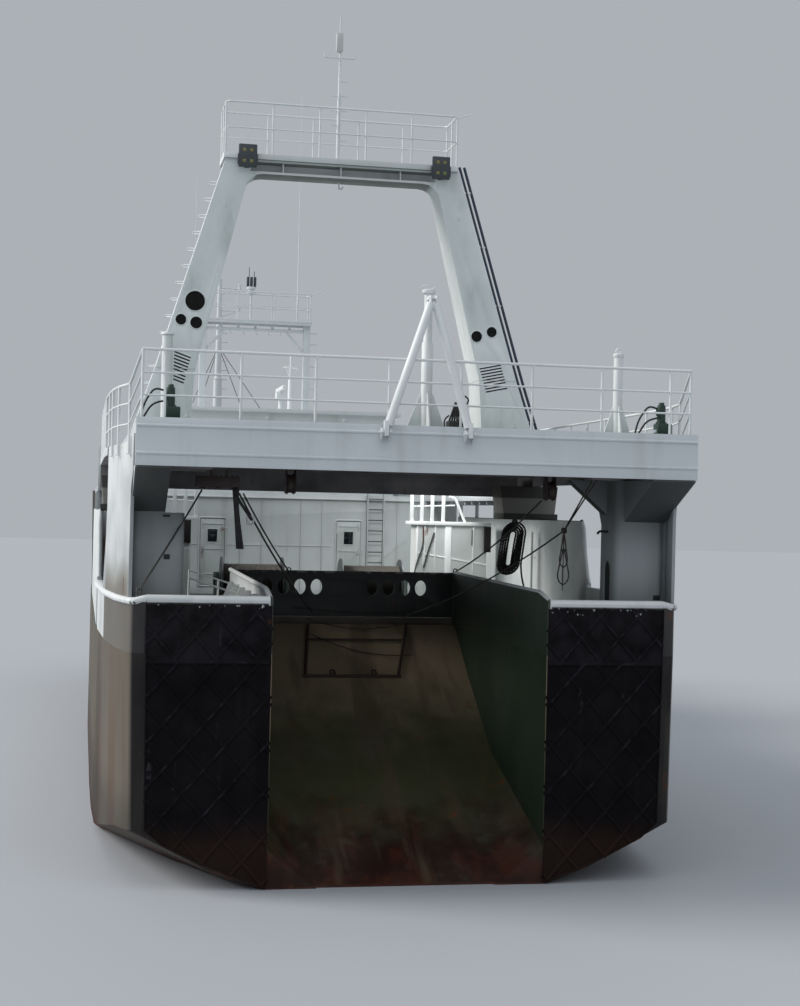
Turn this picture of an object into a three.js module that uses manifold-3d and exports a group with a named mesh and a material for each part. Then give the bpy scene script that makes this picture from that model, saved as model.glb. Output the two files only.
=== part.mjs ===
// A stern trawler afloat: hull with a stern ramp, a gantry standing on the deck that bridges it,
// and the deckhouse, wheelhouse and masts forward. Millimetres, +Z up, +Y to the bow, +X to
// starboard. The origin is amidships on the centreline, in the plane of the water.
import * as THREE from 'three';
import { mergeVertices } from 'three/addons/utils/BufferGeometryUtils.js';
import Module from 'manifold-3d';

// Driving dimensions: length and levels
const LENGTH = 39000;
const STERN_Y = -LENGTH / 2;
const TRANSOM_Y = STERN_Y + 800;
const HALF_BEAM = 5200;
const DRAFT = 3400;
const WORK_DECK_Z = 3900;
const BULWARK_TOP_Z = 4800;
const UPPER_DECK_Z = 6750;
const GANTRY_DECK_Z = 7720;
const GANTRY_DECK_UNDER_Z = 6950;
const FORWARD_GIRDER_Z = 6710;
const ROOF_Z = 9250;

// Driving dimensions: plates and clearances
const PLATE = 100;
const SEAT_GAP = 0.3;
const RUNNING_GAP = 10;
const HINGE_RADIUS = 22;
const RAIL_HEIGHT = 1090;
const RAIL_RADIUS = 24;

// Driving dimensions: stern
const RAMP_HALF = 2360;
const RAMP_HEAD_Y = STERN_Y + 8070;
const RAMP_BEND = { y: -14900, z: 1800 };
const RAMP_TOE_Z = -40;
const STERN_HALF = 4700;
const GANTRY_Y = STERN_Y + 9450;

// Paint and metal colours, as roughness and metalness beside each
const PAINT = {
  white: [0xc9ced1, 0.5, 0],
  grey: [0x9aa2a8, 0.55, 0],
  hull: [0x6b675c, 0.7, 0],
  dark: [0x2b2832, 0.7, 0.1],
  green: [0x24382a, 0.6, 0],
  black: [0x14181a, 0.6, 0.1],
  rust: [0x5a3626, 0.85, 0.2],
  steel: [0x6e7376, 0.45, 0.8],
  bronze: [0x9c7b43, 0.35, 0.9],
  orange: [0xc0562a, 0.7, 0],
  rope: [0x1c1c1c, 0.9, 0],
};

const wasm = await Module();
wasm.setup();

// Turns a closed geometry into a solid that can be joined and cut
function toSolid(geometry) {
  const bare = geometry.clone();
  bare.deleteAttribute('normal');
  bare.deleteAttribute('uv');
  const welded = mergeVertices(bare, 1e-3);
  return new wasm.Manifold(new wasm.Mesh({
    numProp: 3,
    vertProperties: Float32Array.from(welded.attributes.position.array),
    triVerts: Uint32Array.from(welded.index.array),
  }));
}

// Turns a solid back into a geometry
function toGeometry(solid) {
  const mesh = solid.getMesh();
  const geometry = new THREE.BufferGeometry();
  geometry.setAttribute('position', new THREE.BufferAttribute(new Float32Array(mesh.vertProperties), 3));
  geometry.setIndex(new THREE.BufferAttribute(new Uint32Array(mesh.triVerts), 1));
  return geometry;
}

function join(geometries) {
  return toGeometry(geometries.map(toSolid).reduce((all, one) => all.add(one)));
}

function cut(geometry, cutters) {
  return toGeometry(cutters.map(toSolid).reduce((all, one) => all.subtract(one), toSolid(geometry)));
}

// What two geometries have in common
function common(one, other) {
  return toGeometry(toSolid(one).intersect(toSolid(other)));
}

// A box given by its two corners
function block(x0, x1, y0, y1, z0, z1) {
  const geometry = new THREE.BoxGeometry(x1 - x0, y1 - y0, z1 - z0);
  return geometry.translate((x0 + x1) / 2, (y0 + y1) / 2, (z0 + z1) / 2);
}

// A straight round bar between two points
function bar(from, to, radius, sides = 8) {
  const start = new THREE.Vector3(...from);
  const end = new THREE.Vector3(...to);
  const along = end.clone().sub(start);
  const geometry = new THREE.CylinderGeometry(radius, radius, along.length(), sides);
  const turn = new THREE.Quaternion().setFromUnitVectors(new THREE.Vector3(0, 1, 0), along.normalize());
  return geometry.applyQuaternion(turn).translate(...start.add(end).multiplyScalar(0.5).toArray());
}

// A cone frustum standing on Z
function frustum(x, y, z0, z1, bottom, top, sides = 12) {
  const geometry = new THREE.CylinderGeometry(top, bottom, z1 - z0, sides).rotateX(Math.PI / 2);
  return geometry.translate(x, y, (z0 + z1) / 2);
}

// A flat outline, given in two of the axes, drawn out along the third
const DRAW_AXES = {
  x: [[0, 1, 0], [0, 0, 1], [1, 0, 0]],
  y: [[0, 0, 1], [1, 0, 0], [0, 1, 0]],
  z: [[1, 0, 0], [0, 1, 0], [0, 0, 1]],
};
function draw(axis, outline, low, high) {
  const shape = new THREE.Shape(outline.map(([u, v]) => new THREE.Vector2(u, v)));
  const geometry = new THREE.ExtrudeGeometry(shape, { depth: high - low, bevelEnabled: false });
  const [u, v, w] = DRAW_AXES[axis].map((vector) => new THREE.Vector3(...vector));
  return geometry.translate(0, 0, low).applyMatrix4(new THREE.Matrix4().makeBasis(u, v, w));
}
const swap = (outline) => outline.map(([x, z]) => [z, x]);

// Turns a closed skin's faces outwards, whichever way its rings run
function outward(geometry) {
  const at = geometry.attributes.position;
  const index = geometry.index.array;
  const [a, b, c] = [new THREE.Vector3(), new THREE.Vector3(), new THREE.Vector3()];
  let volume = 0;
  for (let i = 0; i < index.length; i += 3) {
    a.fromBufferAttribute(at, index[i]);
    b.fromBufferAttribute(at, index[i + 1]);
    c.fromBufferAttribute(at, index[i + 2]);
    volume += a.dot(b.cross(c));
  }
  if (volume < 0) {
    geometry.setIndex(Array.from(index).reverse());
  }
  return geometry;
}

// A closed skin through rings of equal count, with flat ends
function loft(rings) {
  const count = rings[0].length;
  const positions = rings.flat(2);
  const faces = [];
  for (let r = 0; r < rings.length - 1; r += 1) {
    for (let i = 0; i < count; i += 1) {
      const a = r * count + i;
      const b = r * count + ((i + 1) % count);
      faces.push(a, b, b + count, a, b + count, a + count);
    }
  }
  for (let i = 1; i < count - 1; i += 1) {
    faces.push(0, i + 1, i);
    const last = (rings.length - 1) * count;
    faces.push(last, last + i, last + i + 1);
  }
  const geometry = new THREE.BufferGeometry();
  geometry.setAttribute('position', new THREE.Float32BufferAttribute(positions, 3));
  geometry.setIndex(faces);
  return outward(geometry);
}

// Mirrors a geometry across the centreline
function mirrored(geometry) {
  const copy = geometry.clone().scale(-1, 1, 1);
  const index = copy.index ? Array.from(copy.index.array)
    : Array.from({ length: copy.attributes.position.count }, (_, i) => i);
  for (let i = 0; i < index.length; i += 3) {
    const second = index[i + 1];
    index[i + 1] = index[i + 2];
    index[i + 2] = second;
  }
  copy.setIndex(index);
  return copy;
}

const ship = new THREE.Group();

function add(name, geometry, paint) {
  const [color, roughness, metalness] = PAINT[paint];
  const mesh = new THREE.Mesh(geometry, new THREE.MeshStandardMaterial({ color, roughness, metalness }));
  mesh.name = name;
  ship.add(mesh);
  return mesh;
}

// The same piece on both sides, modelled to starboard
function addPair(name, geometry, paint) {
  add(`starboard_${name}`, geometry, paint);
  add(`port_${name}`, mirrored(geometry), paint);
}

// Hull: stations from the transom to the stem. The bottom curves from the keel to the chine by a
// superellipse whose power is the fullness, and the side runs straight from there to the deck.
// Columns: y at keel, y at deck, keel z, chine z, half breadth at chine, at deck, fullness
const STATIONS = [
  [TRANSOM_Y, TRANSOM_Y, -650, 1000, 4400, 4450, 1.25],
  [-18620, -18620, -670, 1000, 4600, 4650, 1.25],
  [-18450, -18450, -690, 980, 4690, 4730, 1.25],
  [-17600, -17600, -740, 900, 4860, 4900, 1.3],
  [-16000, -16000, -850, 600, 5030, 5060, 1.4],
  [-13500, -13500, -950, 150, 5140, 5160, 1.6],
  [-11000, -11000, -1900, 0, 5180, HALF_BEAM, 1.8],
  [-8000, -8000, -2950, 0, HALF_BEAM, HALF_BEAM, 2.2],
  [-4000, -4000, -DRAFT, 0, HALF_BEAM, HALF_BEAM, 3.0],
  [2000, 2000, -DRAFT, 0, HALF_BEAM, HALF_BEAM, 3.2],
  [6000, 6000, -DRAFT, 0, 4950, 5150, 2.8],
  [10000, 10000, -DRAFT, 0, 4050, 4850, 2.2],
  [13200, 13300, -DRAFT, 0, 2750, 4150, 1.7],
  [15600, 15900, -3300, 0, 1500, 3050, 1.4],
  [16900, 17600, -2900, 0, 620, 1850, 1.2],
  [17500, 18700, -2300, 0, 90, 420, 1.0],
];
const BOTTOM_STEPS = [0.05, 0.15, 0.3, 0.55, 1];

// Half section of a station up to a level, from the keel outwards
function halfSection([yKeel, yDeck, keel, chine, halfChine, halfDeck, fullness], level) {
  const points = [[0, keel]];
  for (const step of BOTTOM_STEPS) {
    const reach = (1 - (1 - step) ** fullness) ** (1 / fullness);
    points.push([halfChine * reach, keel + (chine - keel) * step]);
  }
  points.push([halfDeck, level]);
  return points.map(([x, z]) => [x, yKeel + ((yDeck - yKeel) * (z - keel)) / (level - keel), z]);
}

function hullRings(level) {
  return STATIONS.map((station) => {
    const half = halfSection(station, level);
    const port = half.slice(1).reverse().map(([x, y, z]) => [-x, y, z]);
    return [...port, ...half];
  });
}

// The ramp climbs from the transom to its head and is hollow along its length
const RAMP_PROFILE = [
  [TRANSOM_Y - 500, RAMP_TOE_Z - 230],
  [RAMP_BEND.y, RAMP_BEND.z],
  [-13000, 2960],
  [RAMP_HEAD_Y, WORK_DECK_Z + 150],
  [RAMP_HEAD_Y, WORK_DECK_Z + 1500],
  [TRANSOM_Y - 500, WORK_DECK_Z + 1500],
];
const FILLET_HALF = 1410;
const FILLET_Z = 700;

// A wedge that fills the corner between the ramp's floor and its wall, down to the hull's bottom
function rampFillet() {
  const toe = TRANSOM_Y;
  const inside = RAMP_HALF + 60;
  const deep = 1100;
  const wedge = new THREE.BufferGeometry();
  const corners = [
    [FILLET_HALF, toe, RAMP_TOE_Z - 60], [inside, toe, FILLET_Z], [inside, toe, FILLET_Z - deep],
    [RAMP_HALF - 20, RAMP_BEND.y, RAMP_BEND.z - 10], [inside, RAMP_BEND.y, RAMP_BEND.z],
    [inside, RAMP_BEND.y, RAMP_BEND.z - deep],
  ];
  wedge.setAttribute('position', new THREE.Float32BufferAttribute(corners.flat(), 3));
  wedge.setIndex([0, 2, 1, 3, 4, 5, 0, 1, 4, 0, 4, 3, 1, 2, 5, 1, 5, 4, 2, 0, 3, 2, 3, 5]);
  return common(outward(wedge), loft(hullRings(WORK_DECK_Z)));
}

const rampCut = draw('x', RAMP_PROFILE, -RAMP_HALF, RAMP_HALF);
const hullBody = cut(loft(hullRings(WORK_DECK_Z)), [rampCut]);

// Hatch in the working deck for the catch, with a raised coaming round a shallow pocket
const HATCH = { x: 1100, y0: -10300, y1: -8700, coaming: 120, wall: 80, lid: 60 };
const hatchCoaming = cut(
  block(-HATCH.x, HATCH.x, HATCH.y0, HATCH.y1, WORK_DECK_Z - 50, WORK_DECK_Z + HATCH.coaming),
  [block(-HATCH.x + HATCH.wall, HATCH.x - HATCH.wall, HATCH.y0 + HATCH.wall, HATCH.y1 - HATCH.wall,
    WORK_DECK_Z, WORK_DECK_Z + 500)],
);

// Sill on the deck at the ramp's head, bilge keels, and the trunk that the rudder stock comes through
const rampSill = block(-RAMP_HALF, RAMP_HALF, RAMP_HEAD_Y + 20, RAMP_HEAD_Y + 320, WORK_DECK_Z - 20,
  WORK_DECK_Z + 150);
const bilgeKeel = draw('y', swap([[4450, -2450], [4560, -2340], [4860, -2860], [4800, -2900]]), -6000, 3500);
const RUDDER = { y: -14950, z0: -3300, z1: -1100, stock: 90 };
const rudderTrunk = frustum(0, RUDDER.y, RUDDER.z1 + 60 + RUNNING_GAP, -200, 150, 150);

// Skeg with the stern tube for the propeller shaft
const SHAFT_Z = -2270;
const PROP = { y: -13750, radius: 900, hub: 170 };
const TUBE_END_Y = -13500;
const skeg = draw('x', [
  [TUBE_END_Y + 200, SHAFT_Z - 330], [-12300, -DRAFT], [-8000, -DRAFT], [-6000, -3250], [-9000, -2300],
  [-12300, -1200], [-12900, -900], [TUBE_END_Y + 200, SHAFT_Z + 330],
], -160, 160);
const sternTube = bar([0, TUBE_END_Y, SHAFT_Z], [0, -11800, SHAFT_Z], 180, 16);
add('hull', join([
  hullBody, rampFillet(), mirrored(rampFillet()), hatchCoaming, rampSill, bilgeKeel, mirrored(bilgeKeel),
  rudderTrunk, skeg, sternTube,
]), 'hull');

const HATCH_LID_Z = WORK_DECK_Z + HATCH.coaming + RUNNING_GAP;
const hatchLid = join([
  block(-HATCH.x - 20, HATCH.x + 20, HATCH.y0 - 20, HATCH.y1 + 20, HATCH_LID_Z, HATCH_LID_Z + HATCH.lid),
  block(-700, -500, HATCH.y0 + 200, HATCH.y1 - 200, HATCH_LID_Z + 40, HATCH_LID_Z + 110),
  block(500, 700, HATCH.y0 + 200, HATCH.y1 - 200, HATCH_LID_Z + 40, HATCH_LID_Z + 110),
  ...[-700, 600].map((x) => block(x, x + 100, HATCH.y1 + SEAT_GAP, HATCH.y1 + 50, HATCH_LID_Z - 35,
    HATCH_LID_Z + 30)),
]);
add('fish_hatch_lid', hatchLid, 'green');

// Deck edge of the hull in plan, to starboard, from the transom to a given station
const DECK_EDGE = [
  [4450, TRANSOM_Y], [4650, -18620], [4730, -18450], [4900, -17600], [5060, -16000], [5160, -13500],
];

// A line in plan moved inboard by a distance, and a wall of even thickness that stands on such a line
function inboard(line, distance) {
  return line.map(([x, y], i) => {
    const [ax, ay] = line[Math.max(i - 1, 0)];
    const [bx, by] = line[Math.min(i + 1, line.length - 1)];
    const length = Math.hypot(bx - ax, by - ay);
    return [x - ((by - ay) / length) * distance, y + ((bx - ax) / length) * distance];
  });
}
function wallOnLine(line, thickness, z0, z1) {
  return draw('z', [...line, ...inboard(line, thickness).reverse()], z0, z1);
}

// Bulwark: plating round the quarter, closed across the transom beside the ramp
const BULWARK_END_Y = -12300;
const bulwarkLine = [...DECK_EDGE, [DECK_EDGE[5][0], BULWARK_END_Y]];

// Along the ramp's side it rises forward, with its stays on the deck side
const RAMP_CAP_KNUCKLE = [-18050, 4945];
const rampBulwarkPlate = draw('x', [
  [TRANSOM_Y + 10, WORK_DECK_Z], [RAMP_HEAD_Y + 160, WORK_DECK_Z], [RAMP_HEAD_Y + 160, 5010],
  [RAMP_HEAD_Y, 5010], RAMP_CAP_KNUCKLE, [TRANSOM_Y + 10, BULWARK_TOP_Z + 30],
], RAMP_HALF, RAMP_HALF + 60);
const STAY_PITCH = 1150;
const rampStays = Array.from({ length: 6 }, (_, i) => {
  const y = TRANSOM_Y + 700 + i * STAY_PITCH;
  return draw('y', swap([
    [RAMP_HALF + 60, WORK_DECK_Z], [RAMP_HALF + 520, WORK_DECK_Z],
    [RAMP_HALF + 470, WORK_DECK_Z + 80], [RAMP_HALF + 160, BULWARK_TOP_Z], [RAMP_HALF + 60, BULWARK_TOP_Z],
  ]), y, y + 40);
});

// Round bar along the bulwark's top: on it across the transom, beside it round the quarter
const CAP = { radius: 58, sideZ: BULWARK_TOP_Z - 60, inset: 50 };
const capPath = [
  [RAMP_HALF + CAP.inset, TRANSOM_Y + CAP.inset, BULWARK_TOP_Z], [4440, TRANSOM_Y + CAP.inset, BULWARK_TOP_Z],
  ...bulwarkLine.slice(1).map(([x, y]) => [x, y, CAP.sideZ]),
];
const capBars = capPath.slice(1).map((end, i) => bar(capPath[i], end, CAP.radius));
const rampCapEnds = [[TRANSOM_Y + CAP.inset, BULWARK_TOP_Z + 30], RAMP_CAP_KNUCKLE, [RAMP_HEAD_Y + 160, 5010]]
  .map((end) => [RAMP_HALF + CAP.inset, ...end]);
const rampCaps = rampCapEnds.slice(1).map((end, i) => bar(rampCapEnds[i], end, CAP.radius - 14));
const bulwark = join([
  wallOnLine(bulwarkLine, PLATE, WORK_DECK_Z, BULWARK_TOP_Z),
  block(RAMP_HALF + 60, 4435, TRANSOM_Y, TRANSOM_Y + PLATE, WORK_DECK_Z, BULWARK_TOP_Z),
  rampBulwarkPlate, ...rampStays, ...capBars, ...rampCaps,
]);
addPair('bulwark', bulwark, 'white');

// Gate across the head of the ramp: a plate with two rows of four oval holes, hinged at its foot
const GATE = { thick: 60, z0: WORK_DECK_Z + 150 + RUNNING_GAP, z1: 5000, holeZ: 4680, axisZ: 4110 };
const GATE_HOLES = [600, 950, 1300, 1650];
const HOLE_HALF = { x: 125, z: 165 };
const ovalHole = (x) => new THREE.CylinderGeometry(1, 1, 400, 16).scale(HOLE_HALF.x, 1, HOLE_HALF.z)
  .translate(x, RAMP_HEAD_Y, GATE.holeZ);
const GATE_HALF = RAMP_HALF - RUNNING_GAP;
const gatePlate = cut(
  block(-GATE_HALF, GATE_HALF, RAMP_HEAD_Y, RAMP_HEAD_Y + GATE.thick, GATE.z0, GATE.z1),
  GATE_HOLES.flatMap((x) => [ovalHole(x), ovalHole(-x)]),
);
const gateCap = block(-GATE_HALF, GATE_HALF, RAMP_HEAD_Y - 20, RAMP_HEAD_Y + GATE.thick + 20, GATE.z1 - 40,
  GATE.z1 + 20);
const gatePins = [-1, 1].map((side) => bar(
  [side * (GATE_HALF - 200), RAMP_HEAD_Y + GATE.thick / 2, GATE.axisZ],
  [side * (RAMP_HALF - SEAT_GAP), RAMP_HEAD_Y + GATE.thick / 2, GATE.axisZ], HINGE_RADIUS, 12));
add('ramp_gate', join([gatePlate, gateCap, ...gatePins]), 'black');

// Quarter plates on the transom: bars in diamonds over a plate, with a level bar between an upper
// and a lower net. Net columns: x and z of a crossing, lowest and highest z
const QUARTER = { x0: RAMP_HALF + 15, x1: 4435, z1: 4700, thick: 30, bar: 30, levelZ: 3760 };
const DIAMOND = { width: 670, height: 760 };
const NETS = [[3630, 4200, QUARTER.levelZ, QUARTER.z1], [3460, 2745, 0, QUARTER.levelZ]];
function quarterPlate() {
  const face = TRANSOM_Y - SEAT_GAP;
  const outline = swap([
    [QUARTER.x0, 40], [3000, 260], [3500, 470], [4100, 770], [4385, 1020], [QUARTER.x1, QUARTER.z1],
    [QUARTER.x0, QUARTER.z1],
  ]);
  const front = face - QUARTER.thick - QUARTER.bar;
  const plate = draw('y', outline, face - QUARTER.thick, face);
  const strip = (xa, za, xb, zb) => {
    const length = Math.hypot(xb - xa, zb - za);
    const [u, v] = [((zb - za) / length) * QUARTER.bar, ((xb - xa) / length) * QUARTER.bar];
    return draw('y', swap([[xa + u, za - v], [xb + u, zb - v], [xb - u, zb + v], [xa - u, za + v]]), front, face);
  };
  const lean = DIAMOND.height / DIAMOND.width;
  const nets = NETS.map(([crossX, crossZ, low, high]) => {
    const [from, to] = [QUARTER.x0 - 50 - crossX, QUARTER.x1 + 50 - crossX];
    const strips = [-lean, lean].flatMap((rise) => Array.from({ length: 15 }, (_, i) => {
      const z = crossZ + (i - 8) * DIAMOND.height;
      return strip(crossX + from, z + rise * from, crossX + to, z + rise * to);
    }));
    return common(join(strips), block(QUARTER.x0, QUARTER.x1, front, face, low, high));
  });
  const level = strip(QUARTER.x0, QUARTER.levelZ, QUARTER.x1, QUARTER.levelZ);
  return join([plate, common(join([...nets, level]), draw('y', outline, front, face))]);
}
addPair('quarter_plate', quarterPlate(), 'dark');

// Stern pillars: a box trunk with a rounded aft corner, a side plate flush with the hull, and knees
// that widen it under the gantry deck
const PILLAR = { x0: 3800, x1: 4700, y0: -17950, y1: -17100, round: 150, outerRound: 130 };
const HAUNCH = { x0: 3950, z0: 6220, tipY: STERN_Y + 60 };
const INBOARD_KNEE = { x: 3100, z0: 6290 };
const PORT_STEP = { x0: -4130, z0: 6200 };
const SIDE_PLATE = { thick: 60, endY: -15400, headY: -15960, topZ: 7350, heelY: -18450, sweepY: -18920 };
const sidePlateLine = [
  [4715, SIDE_PLATE.sweepY], [4730, SIDE_PLATE.heelY], [4900, -17600], [5060, -16000], [5100, SIDE_PLATE.endY],
];
function pillar() {
  const { x0, x1, y0, y1, round, outerRound } = PILLAR;
  const corner = (x, radius, from) => Array.from({ length: 5 }, (_, i) => {
    const angle = from + (i / 4) * (Math.PI / 2);
    return [x + radius * Math.cos(angle), y0 + radius + radius * Math.sin(angle)];
  });
  const trunk = draw('z', [
    ...corner(x0 + round, round, Math.PI), ...corner(x1 - outerRound, outerRound, Math.PI * 1.5),
    [x1, y1], [x0, y1],
  ], WORK_DECK_Z, GANTRY_DECK_UNDER_Z);
  const doorway = join([
    block(x0 - 50, x0 + 500, y0 + 300, y0 + 660, WORK_DECK_Z + 150, WORK_DECK_Z + 1430),
    new THREE.CylinderGeometry(180, 180, 550, 16).rotateZ(Math.PI / 2)
      .translate(x0 + 225, y0 + 480, WORK_DECK_Z + 1430),
  ]);
  const haunch = draw('x', [
    [y0 + 60, HAUNCH.z0], [y0 + 60, GANTRY_DECK_UNDER_Z], [HAUNCH.tipY, GANTRY_DECK_UNDER_Z],
    [HAUNCH.tipY, GANTRY_DECK_UNDER_Z - 30], [y0, HAUNCH.z0],
  ], HAUNCH.x0, x1);
  const knee = 500;
  const forwardKnee = draw('x', [
    [y1 - 60, GANTRY_DECK_UNDER_Z - 900], [y1 + knee, GANTRY_DECK_UNDER_Z], [y1 - 60, GANTRY_DECK_UNDER_Z],
  ], x0, x1);
  return join([cut(trunk, [doorway]), haunch, forwardKnee]);
}

// The side plate stands on the bulwark, rises past the deck's side, and has a curved forward edge. Its
// aft edge sweeps out under the deck's overhang
function sidePlate() {
  const { thick, endY, headY, topZ, heelY, sweepY } = SIDE_PLATE;
  const plate = wallOnLine(sidePlateLine, thick, BULWARK_TOP_Z + SEAT_GAP, topZ + 130);
  const edge = draw('x', [
    [endY + 10, BULWARK_TOP_Z], [endY - 380, BULWARK_TOP_Z + 900], [headY, BULWARK_TOP_Z + 1500],
    [headY, topZ + 200], [endY + 200, topZ + 200], [endY + 200, BULWARK_TOP_Z],
  ], 4000, 5400);
  const sweep = draw('x', [
    [sweepY - 100, BULWARK_TOP_Z - 100], [heelY, BULWARK_TOP_Z - 100], [heelY, 6250], [heelY - 40, 6500],
    [heelY - 140, 6650], [heelY - 290, 6740], [heelY - 420, 6820], [sweepY, 6880], [sweepY - 100, 6880],
  ], 4000, 5400);
  const top = draw('x', [
    [heelY - 50, topZ + 130], [-18250, topZ + 50], [-17900, topZ], [endY, topZ], [endY, topZ + 200],
    [heelY - 50, topZ + 200],
  ], 4000, 5400);
  return cut(plate, [edge, top, sweep]);
}
const pillarWeb = draw('z', [
  [PILLAR.x1 - 40, -17750], [4840, -17750], [4925, -17150], [PILLAR.x1 - 40, -17150],
], BULWARK_TOP_Z + SEAT_GAP, GANTRY_DECK_UNDER_Z);
const sternPillar = join([pillar(), sidePlate(), pillarWeb]);

// The starboard pillar has a knee on its inboard side, and the port one is stepped back there
const inboardKnee = draw('y', swap([
  [PILLAR.x0 + 60, INBOARD_KNEE.z0], [PILLAR.x0 + 60, GANTRY_DECK_UNDER_Z], [INBOARD_KNEE.x, GANTRY_DECK_UNDER_Z],
]), PILLAR.y1 - 300, PILLAR.y1);
add('starboard_stern_pillar', join([sternPillar, inboardKnee]), 'white');
add('port_stern_pillar', cut(mirrored(sternPillar), [
  block(PORT_STEP.x0, -PILLAR.x0 + 100, HAUNCH.tipY - 100, PILLAR.y1 + 700, PORT_STEP.z0, GANTRY_DECK_UNDER_Z + 50),
]), 'white');

// Gantry deck: bridges the stern, with a deep aft fascia, side girders and beams under the plating,
// and a lower shelf along each side
const GANTRY_DECK = { plating: 150, half: 4650, forwardY: -8300, beam: 160, beamDepth: 420, girder: 120 };
const SHELF = { z0: SIDE_PLATE.topZ - 150, z1: SIDE_PLATE.topZ, half: 5120, aftY: -18430 };
const SOFFIT = { x0: 3350, x1: 4640, y0: -17900, y1: -16000 };

// The shelf stops inboard of the side plate, and takes the ship's full width forward of it
function shelf() {
  const { z0, z1, half, aftY } = SHELF;
  const inner = GANTRY_DECK.half - 50;
  const board = draw('z', [
    [inner, aftY], [4800, aftY], [5080, -16000], [half, -14500], [half, GANTRY_DECK.forwardY],
    [inner, GANTRY_DECK.forwardY],
  ], z0, z1);
  const outside = draw('z', [
    ...inboard(sidePlateLine, SIDE_PLATE.thick + SEAT_GAP), [6000, SIDE_PLATE.endY], [6000, -18500],
  ], z0 - 50, z1 + 50);
  const alongside = block(4000, 6000, -18600, SIDE_PLATE.headY + SEAT_GAP, z0 - 60, z1 + 60);
  return cut(board, [common(outside, alongside)]);
}
function gantryDeckShape() {
  const { plating, half, forwardY, beam, beamDepth, girder } = GANTRY_DECK;
  const platingZ = GANTRY_DECK_Z - plating;
  const pieces = [
    block(-half, half, STERN_Y + 60, forwardY, platingZ, GANTRY_DECK_Z),
    block(-STERN_HALF, STERN_HALF, STERN_Y, STERN_Y + 120, GANTRY_DECK_UNDER_Z, GANTRY_DECK_Z),
    block(-half, half, forwardY - 200, forwardY, FORWARD_GIRDER_Z, GANTRY_DECK_Z),
    block(-SHELF.half, SHELF.half, forwardY - 200, forwardY, FORWARD_GIRDER_Z, SHELF.z1),
    shelf(), mirrored(shelf()),
  ];
  for (const y of [-17900, -15900, -13900, -11900, -10000]) {
    pieces.push(block(-half + 50, half - 50, y, y + beam, platingZ - beamDepth, platingZ + 20));
  }
  for (const x of [-2200, 2200]) {
    pieces.push(block(x - 80, x + 80, STERN_Y + 60, forwardY - 60, platingZ - beamDepth + 60, platingZ + 20));
  }
  for (const side of [-1, 1]) {
    const [a, b] = [side * SOFFIT.x0, side * SOFFIT.x1].sort((u, v) => u - v);
    pieces.push(block(a, b, SOFFIT.y0, SOFFIT.y1, GANTRY_DECK_UNDER_Z, platingZ + 20));
    const [c, d] = [side * (half - girder), side * half].sort((u, v) => u - v);
    pieces.push(block(c, d, STERN_Y + 60, forwardY, GANTRY_DECK_UNDER_Z, platingZ + 20));
  }
  for (const z of [GANTRY_DECK_Z - 130, GANTRY_DECK_UNDER_Z + 200]) {
    pieces.push(bar([-STERN_HALF + 20, STERN_Y, z], [STERN_HALF - 20, STERN_Y, z], 28, 8));
  }
  return join(pieces);
}

// Clevises on the fascia hold the feet of the A-frame
const FRAME_FOOT = { x: 700, y: STERN_Y - 150, z: GANTRY_DECK_Z - 130, pin: 28, cheek: 30, gap: 100 };
const clevises = [-1, 1].flatMap((side) => [-1, 1].map((cheek) => {
  const x = side * FRAME_FOOT.x + cheek * (FRAME_FOOT.gap / 2 + FRAME_FOOT.cheek / 2);
  const half = FRAME_FOOT.cheek / 2;
  return draw('x', [
    [STERN_Y + 20, FRAME_FOOT.z - 170], [STERN_Y + 20, FRAME_FOOT.z + 80],
    [FRAME_FOOT.y, FRAME_FOOT.z + 70], [FRAME_FOOT.y - 70, FRAME_FOOT.z],
    [FRAME_FOOT.y, FRAME_FOOT.z - 75],
  ], x - half, x + half);
}));
const clevisPins = [-1, 1].map((side) => {
  const reach = FRAME_FOOT.gap / 2 + FRAME_FOOT.cheek + 30;
  return bar([side * FRAME_FOOT.x - reach, FRAME_FOOT.y, FRAME_FOOT.z],
    [side * FRAME_FOOT.x + reach, FRAME_FOOT.y, FRAME_FOOT.z], FRAME_FOOT.pin, 24);
});
add('gantry_deck', join([gantryDeckShape(), ...clevises, ...clevisPins]), 'white');

// Railings: posts on a line in plan, with courses at the given heights
const RAIL_SIDES = 4;
function railing(lines, z, heights, pitch, radius = RAIL_RADIUS) {
  const bars = [];
  for (const line of lines) {
    for (let i = 0; i < line.length - 1; i += 1) {
      const [ax, ay] = line[i];
      const [bx, by] = line[i + 1];
      heights.forEach((height) => {
        bars.push(bar([ax, ay, z + height], [bx, by, z + height], radius, RAIL_SIDES));
      });
      const length = Math.hypot(bx - ax, by - ay);
      const bays = Math.max(1, Math.round(length / pitch));
      for (let k = i === 0 ? 0 : 1; k <= bays; k += 1) {
        const x = ax + ((bx - ax) * k) / bays;
        const y = ay + ((by - ay) * k) / bays;
        bars.push(bar([x, y, z], [x, y, z + Math.max(...heights)], radius, RAIL_SIDES));
      }
    }
  }
  return join(bars);
}

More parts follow.
